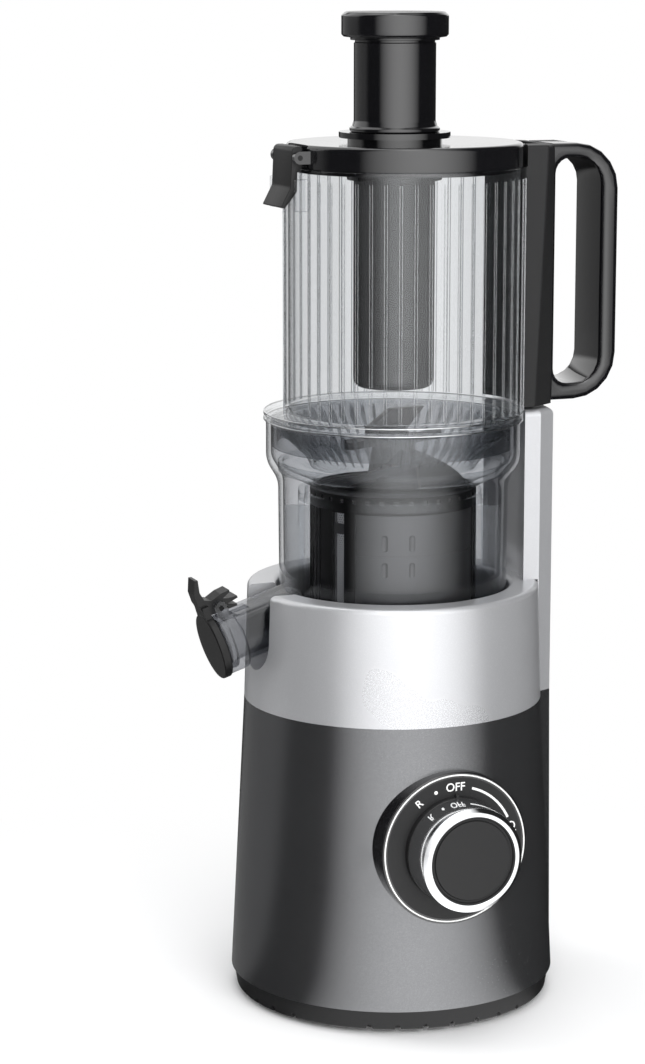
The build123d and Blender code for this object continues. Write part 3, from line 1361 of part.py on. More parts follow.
with BuildPart() as lid_latch:
    with BuildSketch(Plane.XZ.offset(-latch_half)):
        with BuildLine():
            Polyline((latch_pin_x - 2.6, lid_top - 0.4), (latch_pin_x + 2.4, lid_top - 0.4),
                     (latch_pin_x + 2.4, lid_z + 0.8), (latch_pin_x - 0.1, lid_z - 1.4),
                     (latch_pin_x - 0.3, lid_z - 10.0), (latch_pin_x - 6.0, lid_z - 17.0),
                     (latch_pin_x - 8.0, lid_z - 16.8), (latch_pin_x - 3.4, lid_z - 8.0),
                     close=True)
        make_face()
        with Locations((latch_pin_x, hinge_z)):
            Circle(latch_pin_radius + shaft_play, mode=Mode.SUBTRACT)
    extrude(amount=2 * latch_half)
save(lid_latch.part, "lid_latch")

# ---------------------------------------------------------------- pusher
tube_wall = 2.2
tube_low = hopper_z + 10.4
tube_top = grip_z + pusher_grip_height
with BuildPart() as pusher_tube:
    with Locations((0, 0, tube_low)):
        Cylinder(pusher_radius, tube_top - tube_low, align=STANDING)
    fillet(pusher_tube.edges().group_by(Axis.Z)[0], 4.0)
    with Locations((0, 0, grip_z)):
        Cylinder(pusher_radius + 1.9, 2.3, align=STANDING)
    with Locations((0, 0, tube_low + tube_wall)):
        Cylinder(pusher_radius - tube_wall, tube_top, align=STANDING, mode=Mode.SUBTRACT)
save(pusher_tube.part, "pusher_tube")

with BuildPart() as pusher_cap:
    with Locations((0, 0, tube_top)):
        Cylinder(pusher_cap_radius, pusher_cap_height, align=STANDING)
    fillet(pusher_cap.edges().group_by(Axis.Z)[-1], 4.0)
    fillet(pusher_cap.edges().group_by(Axis.Z)[0], 1.5)
    with Locations((0, 0, tube_top - 6.0)):
        Cylinder(pusher_radius - tube_wall, 6.5, align=STANDING)
save(pusher_cap.part, "pusher_cap")
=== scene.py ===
"""Looks of a cold press juicer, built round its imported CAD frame. Sizes are in millimetres."""
import json
from math import cos, pi, radians, sin, tan

import bpy
from mathutils import Matrix, Vector


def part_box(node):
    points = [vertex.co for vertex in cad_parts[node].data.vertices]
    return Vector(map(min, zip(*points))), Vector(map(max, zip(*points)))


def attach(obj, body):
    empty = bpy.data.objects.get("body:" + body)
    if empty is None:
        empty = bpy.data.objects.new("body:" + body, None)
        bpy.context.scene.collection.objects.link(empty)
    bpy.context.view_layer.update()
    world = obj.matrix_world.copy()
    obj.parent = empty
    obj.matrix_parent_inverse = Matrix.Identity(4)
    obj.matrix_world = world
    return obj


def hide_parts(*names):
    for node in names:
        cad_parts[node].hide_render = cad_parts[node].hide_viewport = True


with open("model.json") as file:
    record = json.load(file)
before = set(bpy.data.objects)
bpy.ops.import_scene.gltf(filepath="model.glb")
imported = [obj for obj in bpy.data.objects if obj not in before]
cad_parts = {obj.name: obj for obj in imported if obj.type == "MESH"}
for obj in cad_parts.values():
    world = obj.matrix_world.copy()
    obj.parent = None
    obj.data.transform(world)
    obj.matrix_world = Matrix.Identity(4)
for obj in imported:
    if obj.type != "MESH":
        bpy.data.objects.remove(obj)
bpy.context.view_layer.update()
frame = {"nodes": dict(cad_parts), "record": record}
scene = bpy.context.scene
MM = 0.001
bpy.ops.object.select_all(action="DESELECT")

# ---------------------------------------------------------------- shader sums
class Value:
    """A socket of a node tree that takes part in sums."""

    def __init__(self, paint, socket):
        self.paint = paint
        self.socket = socket

    def math(self, operation, *others):
        return self.paint.node("ShaderNodeMath", {"operation": operation}, [self, *others])

    def __add__(self, other):
        return self.math("ADD", other)

    def __mul__(self, other):
        return self.math("MULTIPLY", other)

    def __sub__(self, other):
        return self.math("SUBTRACT", other)

    def __rsub__(self, other):
        return self.paint.node("ShaderNodeMath", {"operation": "SUBTRACT"}, [other, self])

    def __pow__(self, other):
        return self.math("POWER", other)


class Shading:
    """The nodes of one material, or of the world."""

    def __init__(self, tree):
        self.tree = tree
        tree.nodes.clear()

    def raw(self, kind):
        return self.tree.nodes.new(kind)

    def node(self, kind, settings=None, sockets=None, out=0):
        """A node of this kind: its settings first, then the values or links of its sockets."""
        made = self.raw(kind)
        for key, value in (settings or {}).items():
            setattr(made, key, value)
        pairs = sockets.items() if isinstance(sockets, dict) else enumerate(sockets or [])
        for key, value in pairs:
            self.feed(made.inputs[key], value)
        return Value(self, made.outputs[out])

    def feed(self, socket, value):
        if isinstance(value, Value):
            self.tree.links.new(value.socket, socket)
        elif value is not None:
            if socket.type == "RGBA" and not isinstance(value, (int, float)) and len(value) == 3:
                value = (*value, 1.0)
            socket.default_value = value

    def split(self, place):
        """X, Y and Z of a vector, each a value."""
        parts = self.raw("ShaderNodeSeparateXYZ")
        self.tree.links.new(place.socket, parts.inputs[0])
        return [Value(self, parts.outputs[i]) for i in range(3)]

    def step(self, value, low, high):
        """0 at low, 1 at high, smooth between."""
        return self.node("ShaderNodeMapRange", {"interpolation_type": "SMOOTHSTEP"},
                         [value, low, high, 0.0, 1.0])


class Paint(Shading):
    """One material, made node by node."""

    def __init__(self, name, **looks):
        self.material = bpy.data.materials.new(name)
        self.material.use_nodes = True
        super().__init__(self.material.node_tree)
        self.shader = self.raw("ShaderNodeBsdfPrincipled")
        self.out = self.raw("ShaderNodeOutputMaterial")
        self.tree.links.new(self.shader.outputs["BSDF"], self.out.inputs["Surface"])
        self.place = None
        for socket, value in looks.items():
            self.set(socket.replace("_", " "), value)

    def set(self, socket, value):
        self.feed(self.shader.inputs[socket], value)

    def where(self):
        """The point on the piece, in metres."""
        if self.place is None:
            self.place = self.node("ShaderNodeTexCoord", out="Object")
        return self.place

    def noise(self, scale, detail=2.0, rough=0.5, at=None):
        return self.node("ShaderNodeTexNoise", None,
                         {"Vector": at or self.where(), "Scale": scale, "Detail": detail,
                          "Roughness": rough}, out="Fac")

    def cells(self, scale, at=None, out="Distance"):
        return self.node("ShaderNodeTexVoronoi", None,
                         {"Vector": at or self.where(), "Scale": scale}, out=out)

    def stretched(self, x, y, z):
        return self.node("ShaderNodeMapping", None, {"Vector": self.where(), "Scale": (x, y, z)})

    def axes(self):
        """X, Y and Z of the point, each a value."""
        return self.split(self.where())

    def blend(self, share, first, second):
        """Colour that goes from first to second as share goes from 0 to 1."""
        return self.node("ShaderNodeMix", {"data_type": "RGBA"}, {0: share, 6: first, 7: second},
                         out=2)

    def between(self, share, low, high):
        return share * (high - low) + low

    def bump(self, height, depth, strength=1.0):
        """Raised detail, depth in millimetres."""
        self.set("Normal", self.node("ShaderNodeBump", None,
                                     {"Height": height, "Distance": depth * MM,
                                      "Strength": strength}, out="Normal"))

    def see_through(self, tint, haze):
        """Thin clear plastic: tinted where it is looked through, a mirror at a slant."""
        clear = self.node("ShaderNodeBsdfTransparent", None, {"Color": tint})
        facing = self.node("ShaderNodeLayerWeight", None, {"Blend": 0.5}, out="Facing")
        share = (facing ** 5.0 * 0.96 + 0.04 + haze).math("MINIMUM", 1.0)
        gloss = Value(self, self.shader.outputs[0])
        both = self.node("ShaderNodeMixShader", None, [share, clear, gloss])
        self.tree.links.new(both.socket, self.out.inputs["Surface"])


# ---------------------------------------------------------------- finishes
def glossy_black():
    """Polished black moulding: deep colour, faint flow marks and handling smears."""
    p = Paint("glossy_black", IOR=1.5, Coat_Roughness=0.05, Coat_IOR=1.5)
    cloud = p.noise(22.0, 4.0)
    smear = p.noise(60.0, 5.0, 0.65, p.stretched(1, 1, 0.25))
    p.set("Base Color", p.blend(cloud, (0.0025, 0.0025, 0.003), (0.006, 0.006, 0.007)))
    p.set("Roughness", p.between(smear, 0.07, 0.16))
    p.set("Coat Weight", p.between(cloud, 0.85, 1.0))
    p.bump(p.noise(900.0, 2.0), 0.006, 0.5)
    return p.material


def satin_black(name="satin_black", dark=0.009, light=0.018, rough=0.40, grain=1500.0, gloss=1.42):
    """Fine spark-textured black moulding."""
    p = Paint(name, IOR=gloss)
    pits = p.cells(grain)
    cloud = p.noise(30.0, 3.0)
    p.set("Base Color", p.blend(cloud, (dark,) * 3, (light, light, light * 1.04)))
    p.set("Roughness", p.between(pits, rough - 0.08, rough + 0.10))
    p.bump(pits, 0.03, 0.45)
    return p.material


def metallic_paint(name, deep, bright, metallic, rough, coat):
    """Metallic lacquer: flakes under a clear coat with slight orange peel."""
    p = Paint(name, Coat_Roughness=0.12, Coat_IOR=1.5)
    flake = p.cells(4200.0, out="Color")
    flake = p.node("ShaderNodeRGBToBW", None, [flake])
    cloud = p.noise(9.0, 3.0)
    fleck = p.step(flake, 0.55, 1.0)
    base = p.blend(cloud, deep, tuple(0.5 * (a + b) for a, b in zip(deep, bright)))
    p.set("Base Color", p.blend(fleck * 0.55, base, bright))
    p.set("Metallic", p.between(fleck, metallic - 0.08, metallic))
    p.set("Roughness", p.between(cloud, rough - 0.03, rough + 0.04) + fleck * 0.05)
    p.set("Coat Weight", p.between(cloud, coat - 0.08, coat))
    p.bump(p.noise(420.0, 2.0), 0.012, 0.35)
    return p.material


def brushed_steel(name="brushed_steel", tone=0.60, rough=0.28):
    """Steel with fine lines round its axis."""
    p = Paint(name, Metallic=1.0)
    lines = p.noise(90.0, 3.0, 0.6, p.stretched(1, 1, 40))
    p.set("Base Color", p.blend(lines, (tone * 0.82,) * 3, (tone * 1.08, tone * 1.08, tone * 1.1)))
    p.set("Roughness", p.between(lines, rough - 0.06, rough + 0.12))
    p.bump(lines, 0.01, 0.5)
    return p.material


def perforated_steel():
    """Thin steel etched with rows of fine holes."""
    p = Paint("perforated_steel")
    x, y, z = p.axes()
    round_it = y.math("ARCTAN2", x) * (102 / pi)
    row = z * 1050.0
    level = row.math("FLOOR")
    across = (round_it + level * 0.5).math("FRACT") - 0.5
    along = row.math("FRACT") - 0.5
    hole = p.step((across ** 2.0 + along ** 2.0) ** 0.5, 0.22, 0.32)
    p.set("Base Color", p.blend(hole, (0.006,) * 3, (0.80, 0.80, 0.81)))
    p.set("Roughness", p.between(p.noise(300.0, 3.0), 0.35, 0.5))
    p.set("Metallic", hole * 0.6)
    p.bump(hole, 0.08, 0.6)
    return p.material


def bright_chrome():
    """Plated ring: mirror bright with faint polishing haze."""
    p = Paint("bright_chrome", Metallic=1.0)
    haze = p.noise(140.0, 4.0)
    p.set("Base Color", p.blend(haze, (0.80, 0.81, 0.83), (0.90, 0.905, 0.92)))
    p.set("Roughness", p.between(haze, 0.045, 0.11))
    return p.material


def satin_grey():
    """Smooth grey moulding with a pearl sheen."""
    p = Paint("pearl_grey", IOR=1.45)
    cloud = p.noise(30.0, 3.0)
    p.set("Base Color", p.blend(cloud, (0.10, 0.10, 0.102), (0.125, 0.125, 0.127)))
    p.set("Metallic", p.between(cloud, 0.72, 0.8))
    p.set("Roughness", p.between(p.noise(600.0, 2.0), 0.34, 0.42))
    return p.material


def rubber(name, dark, light, rough=0.75):
    p = Paint(name, IOR=1.45)
    grain = p.noise(700.0, 3.0)
    p.set("Base Color", p.blend(p.noise(40.0, 3.0), dark, light))
    p.set("Roughness", p.between(grain, rough - 0.08, rough + 0.1))
    p.bump(grain, 0.03, 0.5)
    return p.material


def moulded(name, dark, light, rough=0.4):
    """Plain coloured moulding of an inner part."""
    p = Paint(name, IOR=1.48)
    cloud = p.noise(25.0, 3.0)
    p.set("Base Color", p.blend(cloud, dark, light))
    p.set("Roughness", p.between(p.noise(500.0, 2.0), rough - 0.07, rough + 0.1))
    p.bump(p.noise(800.0, 2.0), 0.01, 0.4)
    return p.material


def copper_winding():
    p = Paint("copper_winding", Metallic=1.0)
    wire = p.node("ShaderNodeTexWave", {"wave_type": "RINGS", "rings_direction": "Z"},
                  {"Vector": p.where(), "Scale": 260.0, "Distortion": 0.4})
    p.set("Base Color", p.blend(wire, (0.30, 0.10, 0.03), (0.78, 0.36, 0.16)))
    p.set("Roughness", p.between(wire, 0.28, 0.45))
    p.bump(wire, 0.2, 0.8)
    return p.material


def clear_plastic(name, tint, haze, rough):
    """Clear moulding with faint scuffs."""
    p = Paint(name, Metallic=1.0, Base_Color=(0.93, 0.94, 0.95))
    scuff = p.noise(160.0, 5.0, 0.7, p.stretched(1, 1, 0.3))
    p.set("Roughness", p.between(scuff, rough, rough + 0.05))
    p.see_through(tint, haze)
    return p.material


FINISH = {
    "black_gloss": glossy_black(),
    "black_satin": satin_black(),
    "graphite": metallic_paint("gunmetal_lacquer", (0.155, 0.157, 0.163), (0.28, 0.283, 0.29),
                               0.97, 0.21, 0.10),
    "silver": metallic_paint("silver_lacquer", (0.50, 0.505, 0.52), (0.64, 0.645, 0.66),
                             0.66, 0.28, 0.10),
    "smoky_clear": clear_plastic("smoky_plastic", (0.86, 0.865, 0.875), 0.0, 0.03),
    "clear": clear_plastic("clear_plastic", (0.93, 0.935, 0.94), 0.0, 0.03),
    "rib_clear": clear_plastic("rib_plastic", (0.84, 0.845, 0.85), 0.16, 0.05),
    "steel": brushed_steel("mesh_steel", 0.66, 0.3),
    "machined_steel": brushed_steel(),
    "chrome": bright_chrome(),
    "rubber": rubber("black_rubber", (0.012, 0.012, 0.012), (0.026, 0.026, 0.027)),
    "silicone": rubber("grey_silicone", (0.20, 0.20, 0.21), (0.28, 0.28, 0.29), 0.55),
    "white_plastic": moulded("white_moulding", (0.62, 0.61, 0.57), (0.76, 0.75, 0.71)),
    "brass_zinc": moulded("bearing_bronze", (0.42, 0.30, 0.12), (0.60, 0.46, 0.22), 0.35),
    "copper": copper_winding(),
    "board_green": moulded("board_green", (0.02, 0.12, 0.05), (0.05, 0.22, 0.10), 0.35),
    "auger_grey": satin_black("auger_grey", 0.05, 0.085, 0.34, 1200.0),
    "strainer_grey": satin_grey(),
    "dial_grey": satin_black("dial_grey", 0.013, 0.018, 0.45, 2500.0, 1.33),
    "latch_black": satin_black("latch_black", 0.004, 0.008, 0.34, 2000.0, 1.36),
    "edge_clear": clear_plastic("edge_plastic", (0.80, 0.805, 0.81), 0.60, 0.05),
    "funnel_smoke": clear_plastic("funnel_plastic", (0.76, 0.765, 0.775), 0.0, 0.03),
    "soft_clear": clear_plastic("soft_silicone", (0.80, 0.805, 0.81), 0.04, 0.25),
    "spout_smoke": clear_plastic("spout_plastic", (0.60, 0.605, 0.62), 0.0, 0.04),
    "perforated": perforated_steel(),
    "white_print": moulded("white_print", (0.74, 0.74, 0.73), (0.82, 0.82, 0.81), 0.45),
}
SLOT = {part["node"]: part["material_slot"] for part in frame["record"]["subparts"]}


def dress(piece, material):
    piece.data.materials.clear()
    piece.data.materials.append(material)


OWN_LOOK = {"wiper_frame": "clear", "wiper_blades": "soft_clear", "lid_latch": "latch_black",
            "latch_pin": "latch_black", "drip_flap": "latch_black", "drip_pin": "latch_black",
            "dial_face": "dial_grey", "handle_block": "dial_grey", "base_cover": "dial_grey"}
for name, node in frame["nodes"].items():
    dress(node, FINISH[OWN_LOOK.get(name, SLOT[name])])

# ---------------------------------------------------------------- modelling
def select_only(piece):
    bpy.ops.object.select_all(action="DESELECT")
    piece.select_set(True)
    bpy.context.view_layer.objects.active = piece


def soft_line(corners, closed=True, steps=5):
    """The line through these corners. A corner's third value is its rounding radius."""
    line = []
    for i, corner in enumerate(corners):
        here = Vector(corner[:2])
        radius = corner[2] if len(corner) > 2 else 0
        if not radius or (not closed and i in (0, len(corners) - 1)):
            line.append(here)
            continue
        back = (Vector(corners[i - 1][:2]) - here).normalized()
        on = (Vector(corners[(i + 1) % len(corners)][:2]) - here).normalized()
        half = back.angle(on) / 2
        middle = here + (back + on).normalized() * (radius / sin(half))
        first = here + back * (radius / tan(half)) - middle
        sweep = first.angle_signed(here + on * (radius / tan(half)) - middle)
        for step in range(steps + 1):
            turned_by = -sweep * step / steps
            line.append(middle + Matrix.Rotation(turned_by, 2) @ first)
    return line


def draw(points, closed=True):
    """A new mesh, left in edit mode: edges through these points."""
    bpy.ops.object.select_all(action="DESELECT")
    bpy.ops.mesh.primitive_plane_add(size=MM)
    bpy.ops.object.mode_set(mode="EDIT")
    bpy.ops.mesh.select_all(action="SELECT")
    bpy.ops.mesh.merge(type="CENTER")
    bpy.ops.transform.translate(value=points[0] * MM)
    for here, there in zip(points, points[1:] + points[:1] * closed):
        bpy.ops.mesh.extrude_region_move(TRANSFORM_OT_translate={"value": (there - here) * MM})
    bpy.ops.mesh.select_all(action="SELECT")
    bpy.ops.mesh.remove_doubles(threshold=0.001 * MM)


def close_up():
    """Leaves edit mode with doubles merged and faces outwards."""
    bpy.ops.mesh.select_all(action="SELECT")
    bpy.ops.mesh.remove_doubles(threshold=0.001 * MM)
    bpy.ops.mesh.normals_make_consistent(inside=False)
    bpy.ops.object.mode_set(mode="OBJECT")
    return bpy.context.object


def turned(corners, centre_x=0.0, steps=128):
    """Turned piece: its section's corners, radius and height, spun round an upright axis."""
    closed = corners[0][0] > 0
    draw([Vector((centre_x + r, 0, z)) for r, z in soft_line(corners, closed)], closed)
    bpy.ops.mesh.spin(steps=steps, angle=2 * pi, center=(centre_x * MM, 0, 0), axis=(0, 0, 1))
    return close_up()


def slab(corners, low, high, upright=False):
    """Flat piece from its outline: X and Y between two heights, or upright, X and Z between
    two places along Y."""
    draw([Vector((x, y, low)) for x, y in soft_line(corners)])
    bpy.ops.mesh.edge_face_add()
    bpy.ops.mesh.extrude_region_move(TRANSFORM_OT_translate={"value": (0, 0, (high - low) * MM)})
    piece = close_up()
    if upright:
        piece.data.transform(Matrix(((1, 0, 0, 0), (0, 0, 1, 0), (0, 1, 0, 0), (0, 0, 0, 1))))
        piece.data.flip_normals()
    return piece


def block(low, high, soft=0.0):
    """Rectangular piece between two corners, its edges rounded."""
    size = Vector(high) - Vector(low)
    bpy.ops.object.select_all(action="DESELECT")
    bpy.ops.mesh.primitive_cube_add(size=1, location=(Vector(high) + Vector(low)) * MM / 2)
    piece = bpy.context.object
    piece.scale = size * MM
    bpy.ops.object.transform_apply(location=True, rotation=True, scale=True)
    if soft:
        shape(piece, "BEVEL", width=soft * MM, segments=3)
    return piece


def shape(piece, kind, **settings):
    """One modifier, applied."""
    modifier = piece.modifiers.new(kind, kind)
    for key, value in settings.items():
        setattr(modifier, key, value)
    select_only(piece)
    bpy.ops.object.modifier_apply(modifier=modifier.name)


def round_edges(piece, width, segments=3, angle=32):
    shape(piece, "BEVEL", width=width * MM, segments=segments, limit_method="ANGLE",
          angle_limit=radians(angle), use_clamp_overlap=True)


def carve(piece, *tools, operation="DIFFERENCE"):
    for tool in tools:
        shape(piece, "BOOLEAN", object=tool, operation=operation, solver="EXACT")
        bpy.data.objects.remove(tool)
    return piece


def weld(piece, *others):
    return carve(piece, *others, operation="UNION")


def gather(pieces):
    """Several pieces as one mesh."""
    bpy.ops.object.select_all(action="DESELECT")
    for piece in pieces:
        piece.select_set(True)
    bpy.context.view_layer.objects.active = pieces[0]
    if len(pieces) > 1:
        bpy.ops.object.join()
    return pieces[0]


def copies(piece, moves):
    """The piece once for each move, as one mesh. The first piece itself is used up."""
    made = []
    for move in moves:
        twin = piece.copy()
        twin.data = piece.data.copy()
        twin.data.transform(move)
        scene.collection.objects.link(twin)
        made.append(twin)
    bpy.data.objects.remove(piece)
    return gather(made)


def turn(degrees_round, centre_x=0.0):
    """Move that turns a mesh round an upright line."""
    shift = Matrix.Translation((centre_x * MM, 0, 0))
    return shift @ Matrix.Rotation(radians(degrees_round), 4, "Z") @ shift.inverted()


def keep(piece, name, body, slot, nodes=(), finish=None, smooth=35):
    """Names a finished piece, and gives it its finish and the body that it rides on."""
    piece.name = name
    piece.data.name = name
    select_only(piece)
    bpy.ops.object.transform_apply(location=True, rotation=True, scale=True)
    bpy.ops.object.shade_smooth_by_angle(angle=radians(smooth))
    dress(piece, finish or FINISH[slot])
    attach(piece, body)
    if nodes:
        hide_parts(*nodes)
    return piece


def limits(node):
    """Lowest and highest corner of a CAD node, in millimetres."""
    low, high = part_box(node)
    return low / MM, high / MM


# ---------------------------------------------------------------- pusher
tube_low, tube_high = limits("pusher_tube")
cap_high = limits("pusher_cap")[1]
tube_radius = tube_high.x - 1.9
stop_z = limits("lid")[1].z + 0.3
tube_top = cap_high.z - 12.5
keep(turned([(0, tube_low.z), (tube_radius, tube_low.z, 4), (tube_radius, stop_z - 0.8, 0.6),
             (tube_high.x, stop_z, 0.5), (tube_high.x, stop_z + 1.4, 0.6),
             (tube_radius + 0.7, stop_z + 2.2, 0.8), (tube_radius, stop_z + 4.6, 3),
             (tube_radius, tube_top - 1.2), (tube_radius - 0.5, tube_top - 0.8),
             (tube_radius - 0.5, tube_top), (0, tube_top)]),
     "pusher_stem", "pusher", "black_gloss", ["pusher_tube"])
keep(turned([(0, tube_top + 0.02), (tube_radius + 1.6, tube_top + 0.02, 0.3),
             (tube_radius + 1.6, tube_top + 1.1, 0.3), (cap_high.x - 1.0, tube_top + 1.5, 0.5),
             (cap_high.x, tube_top + 2.5, 0.8), (cap_high.x, cap_high.z - 1.5, 1.2),
             (cap_high.x - 1.6, cap_high.z, 1.2), (0, cap_high.z - 0.2)]),
     "pusher_knob", "pusher", "black_gloss", ["pusher_cap"])

# ---------------------------------------------------------------- hopper
HOPPER_X = 5.1
hop_low, hop_high = limits("hopper")
WALL_OUT = 54.8
WALL_IN = 52.6
FLANGE_OUT = 59.3
CHAMBER_TALL = 110.5
FLANGE_THICK = 4.3
flange_low = hop_high.z - CHAMBER_TALL - FLANGE_THICK
flange_high = flange_low + FLANGE_THICK
funnel_low = hop_low.z - 5.0
hopper_wall = turned([(WALL_IN, flange_high - 3.0), (WALL_OUT, flange_high - 3.0),
                      (WALL_OUT, hop_high.z, 0.7), (WALL_IN, hop_high.z, 0.7)], HOPPER_X)
flange = turned([(WALL_IN - 4.0, flange_low), (FLANGE_OUT, flange_low, 0.6),
                 (FLANGE_OUT, flange_low + 1.5, 0.5), (FLANGE_OUT - 0.9, flange_low + 1.8),
                 (FLANGE_OUT - 0.9, flange_low + 2.3), (FLANGE_OUT, flange_low + 2.6, 0.5),
                 (FLANGE_OUT, flange_high, 0.8), (WALL_IN - 4.0, flange_high)])


def skewed_shell(rings):
    """Closed wall through rings, each centre X, radius and height, one after another."""
    bpy.ops.object.select_all(action="DESELECT")
    centre, radius, height = rings[0]
    bpy.ops.mesh.primitive_circle_add(vertices=128, radius=radius * MM,
                                      location=(centre * MM, 0, height * MM))
    bpy.ops.object.transform_apply(location=True)
    bpy.ops.object.mode_set(mode="EDIT")
    bpy.ops.mesh.select_all(action="SELECT")
    for centre_next, radius_next, height_next in rings[1:] + rings[:1]:
        bpy.ops.mesh.extrude_region_move(TRANSFORM_OT_translate={
            "value": ((centre_next - centre) * MM, 0, (height_next - height) * MM)})
        bpy.ops.transform.resize(value=(radius_next / radius,) * 2 + (1,),
                                 center_override=(centre_next * MM, 0, height_next * MM))
        centre, radius, height = centre_next, radius_next, height_next
    return close_up()


FUNNEL_IN = 36.0
funnel = skewed_shell([(HOPPER_X, WALL_IN, flange_high + 0.2),
                       (HOPPER_X * 0.9, WALL_IN - 2.4, flange_high - 3.0),
                       (0, FUNNEL_IN, funnel_low + 1.2), (0, FUNNEL_IN + 0.8, funnel_low),
                       (0, FUNNEL_IN + 2.0, funnel_low + 0.4),
                       (0, FUNNEL_IN + 2.4, funnel_low + 1.6),
                       (HOPPER_X * 0.85, WALL_IN, flange_low + 0.3),
                       (HOPPER_X, WALL_OUT - 1.0, flange_high - 1.0)])
SKIRT_OUT = 55.7
skirt = turned([(SKIRT_OUT - 2.3, flange_low - 12.2, 0.8), (SKIRT_OUT, flange_low - 12.2, 0.8),
                (SKIRT_OUT, flange_low + 1), (SKIRT_OUT - 2.3, flange_low + 1)])
latch_lugs = copies(block((HOPPER_X - WALL_OUT - 3.9, 13.5, hop_high.z - 18),
                          (HOPPER_X - WALL_OUT + 2.4, 17.0, hop_high.z - 4), 0.5),
                    [Matrix.Identity(4), Matrix.Translation((0, -30.5 * MM, 0))])
shell = weld(hopper_wall, flange, latch_lugs)
keep(shell, "hopper_chamber", "hopper", "clear", ["hopper"])
keep(funnel, "hopper_funnel", "hopper", "clear")
keep(skirt, "hopper_skirt", "hopper", "clear", finish=FINISH["funnel_smoke"])
edges = [turned([(FLANGE_OUT - 0.5, z - 0.28), (FLANGE_OUT + 0.05, z - 0.2, 0.1),
                 (FLANGE_OUT + 0.05, z + 0.2, 0.1), (FLANGE_OUT - 0.5, z + 0.28)])
         for z in (flange_low + 0.45, flange_high - 0.4)]
keep(gather(edges), "flange_edges", "hopper", "clear", finish=FINISH["edge_clear"])

# grip ribs on the wall, each a pair of fine lines
RIBS = 52
rib_low = flange_high + 0.3
rib_high = hop_high.z - 5.0
RIB_HALF = 0.22
rib = gather([block((HOPPER_X + WALL_OUT - 0.25, side - RIB_HALF, rib_low),
                    (HOPPER_X + WALL_OUT + 0.35, side + RIB_HALF, rib_high), 0.15)
              for side in (-0.6, 0.6)])
spots = [(n + 0.5) * 360 / RIBS for n in range(RIBS)]
spots = [a for a in spots if 25 < a < 167 or 193 < a < 335]
keep(copies(rib, [turn(a, HOPPER_X) for a in spots]), "hopper_ribs", "hopper", "clear",
     finish=FINISH["rib_clear"])
# fins between the funnel and the skirt
FINS = 60
fin = slab([(40.2, funnel_low + 5.0), (48.5, flange_low - 9.0), (SKIRT_OUT - 2.6, flange_low - 6.0),
            (SKIRT_OUT - 2.6, flange_low - 0.4), (49.6, flange_low - 2.6)],
           -0.45, 0.45, upright=True)
keep(copies(fin, [turn(n * 360 / FINS) for n in range(FINS)]), "funnel_fins", "hopper", "clear",
     finish=FINISH["rib_clear"])

# ---------------------------------------------------------------- lid
skirt_low, skirt_high = limits("lid_skirt")
seat_z = skirt_low.z + 8.4       # lid's underside
SKIRT_WALL = 1.6
skirt_bore = skirt_high.x - HOPPER_X - SKIRT_WALL
ring_low = seat_z - 2.5
lid_skirt = turned([(skirt_bore, ring_low, 0.4), (skirt_bore + SKIRT_WALL, ring_low, 0.4),
                    (skirt_bore + SKIRT_WALL, skirt_high.z), (skirt_bore, skirt_high.z)], HOPPER_X)
latch_gap = block((-60, -14.5, seat_z),
                  (HOPPER_X - skirt_bore + 4.0, 14.5, skirt_high.z + 1))
hinge_gap = block((HOPPER_X + skirt_bore - 4.0, -9.5, seat_z), (70, 9.5, skirt_high.z + 1))
keep(carve(lid_skirt, latch_gap, hinge_gap), "lid_ring", "lid", "black_gloss", ["lid_skirt"])

LATCH_X = -51.0                  # the latch's pin
latch = slab([(LATCH_X - 2.6, seat_z + 10.0, 2.4), (LATCH_X + 2.4, seat_z + 10.0, 1.0),
              (LATCH_X + 2.4, seat_z + 0.8, 0.4), (LATCH_X - 0.1, seat_z - 1.4, 0.6),
              (LATCH_X - 0.3, seat_z - 10.0, 3), (LATCH_X - 6.0, seat_z - 17.0, 0.5),
              (LATCH_X - 8.0, seat_z - 16.8, 0.5), (LATCH_X - 3.4, seat_z - 8.0, 4)],
             -12, 12, upright=True)
round_edges(latch, 0.6, angle=50)
keep(latch, "latch_hook", "latch", "black_gloss", ["lid_latch"], FINISH["latch_black"])

# ---------------------------------------------------------------- grip
grip_low, grip_high = limits("handle_grip")
GRIP_ROUND, BAR_THICK = 21, 8.4
grip = slab([(grip_low.x - 4, grip_low.z), (grip_high.x, grip_low.z, GRIP_ROUND),
             (grip_high.x, grip_high.z, GRIP_ROUND), (grip_low.x - 4, grip_high.z)],
            grip_low.y, grip_high.y, upright=True)
fingers = slab([(grip_low.x + 1.6, grip_low.z + 7.6, 7),
                (grip_high.x - BAR_THICK, grip_low.z + 7.6, 12),
                (grip_high.x - BAR_THICK, grip_high.z - 6.8, 12),
                (grip_low.x + 1.6, grip_high.z - 6.8, 7)],
               grip_low.y - 1, grip_high.y + 1, upright=True)
carve(grip, fingers)
round_edges(grip, 2.9, 4, 50)
carve(grip, block((grip_low.x - 10, -20, grip_low.z - 5), (grip_low.x + 0.02, 20, grip_high.z + 5)))
keep(grip, "grip_loop", "hopper", "black_gloss", ["handle_grip"])

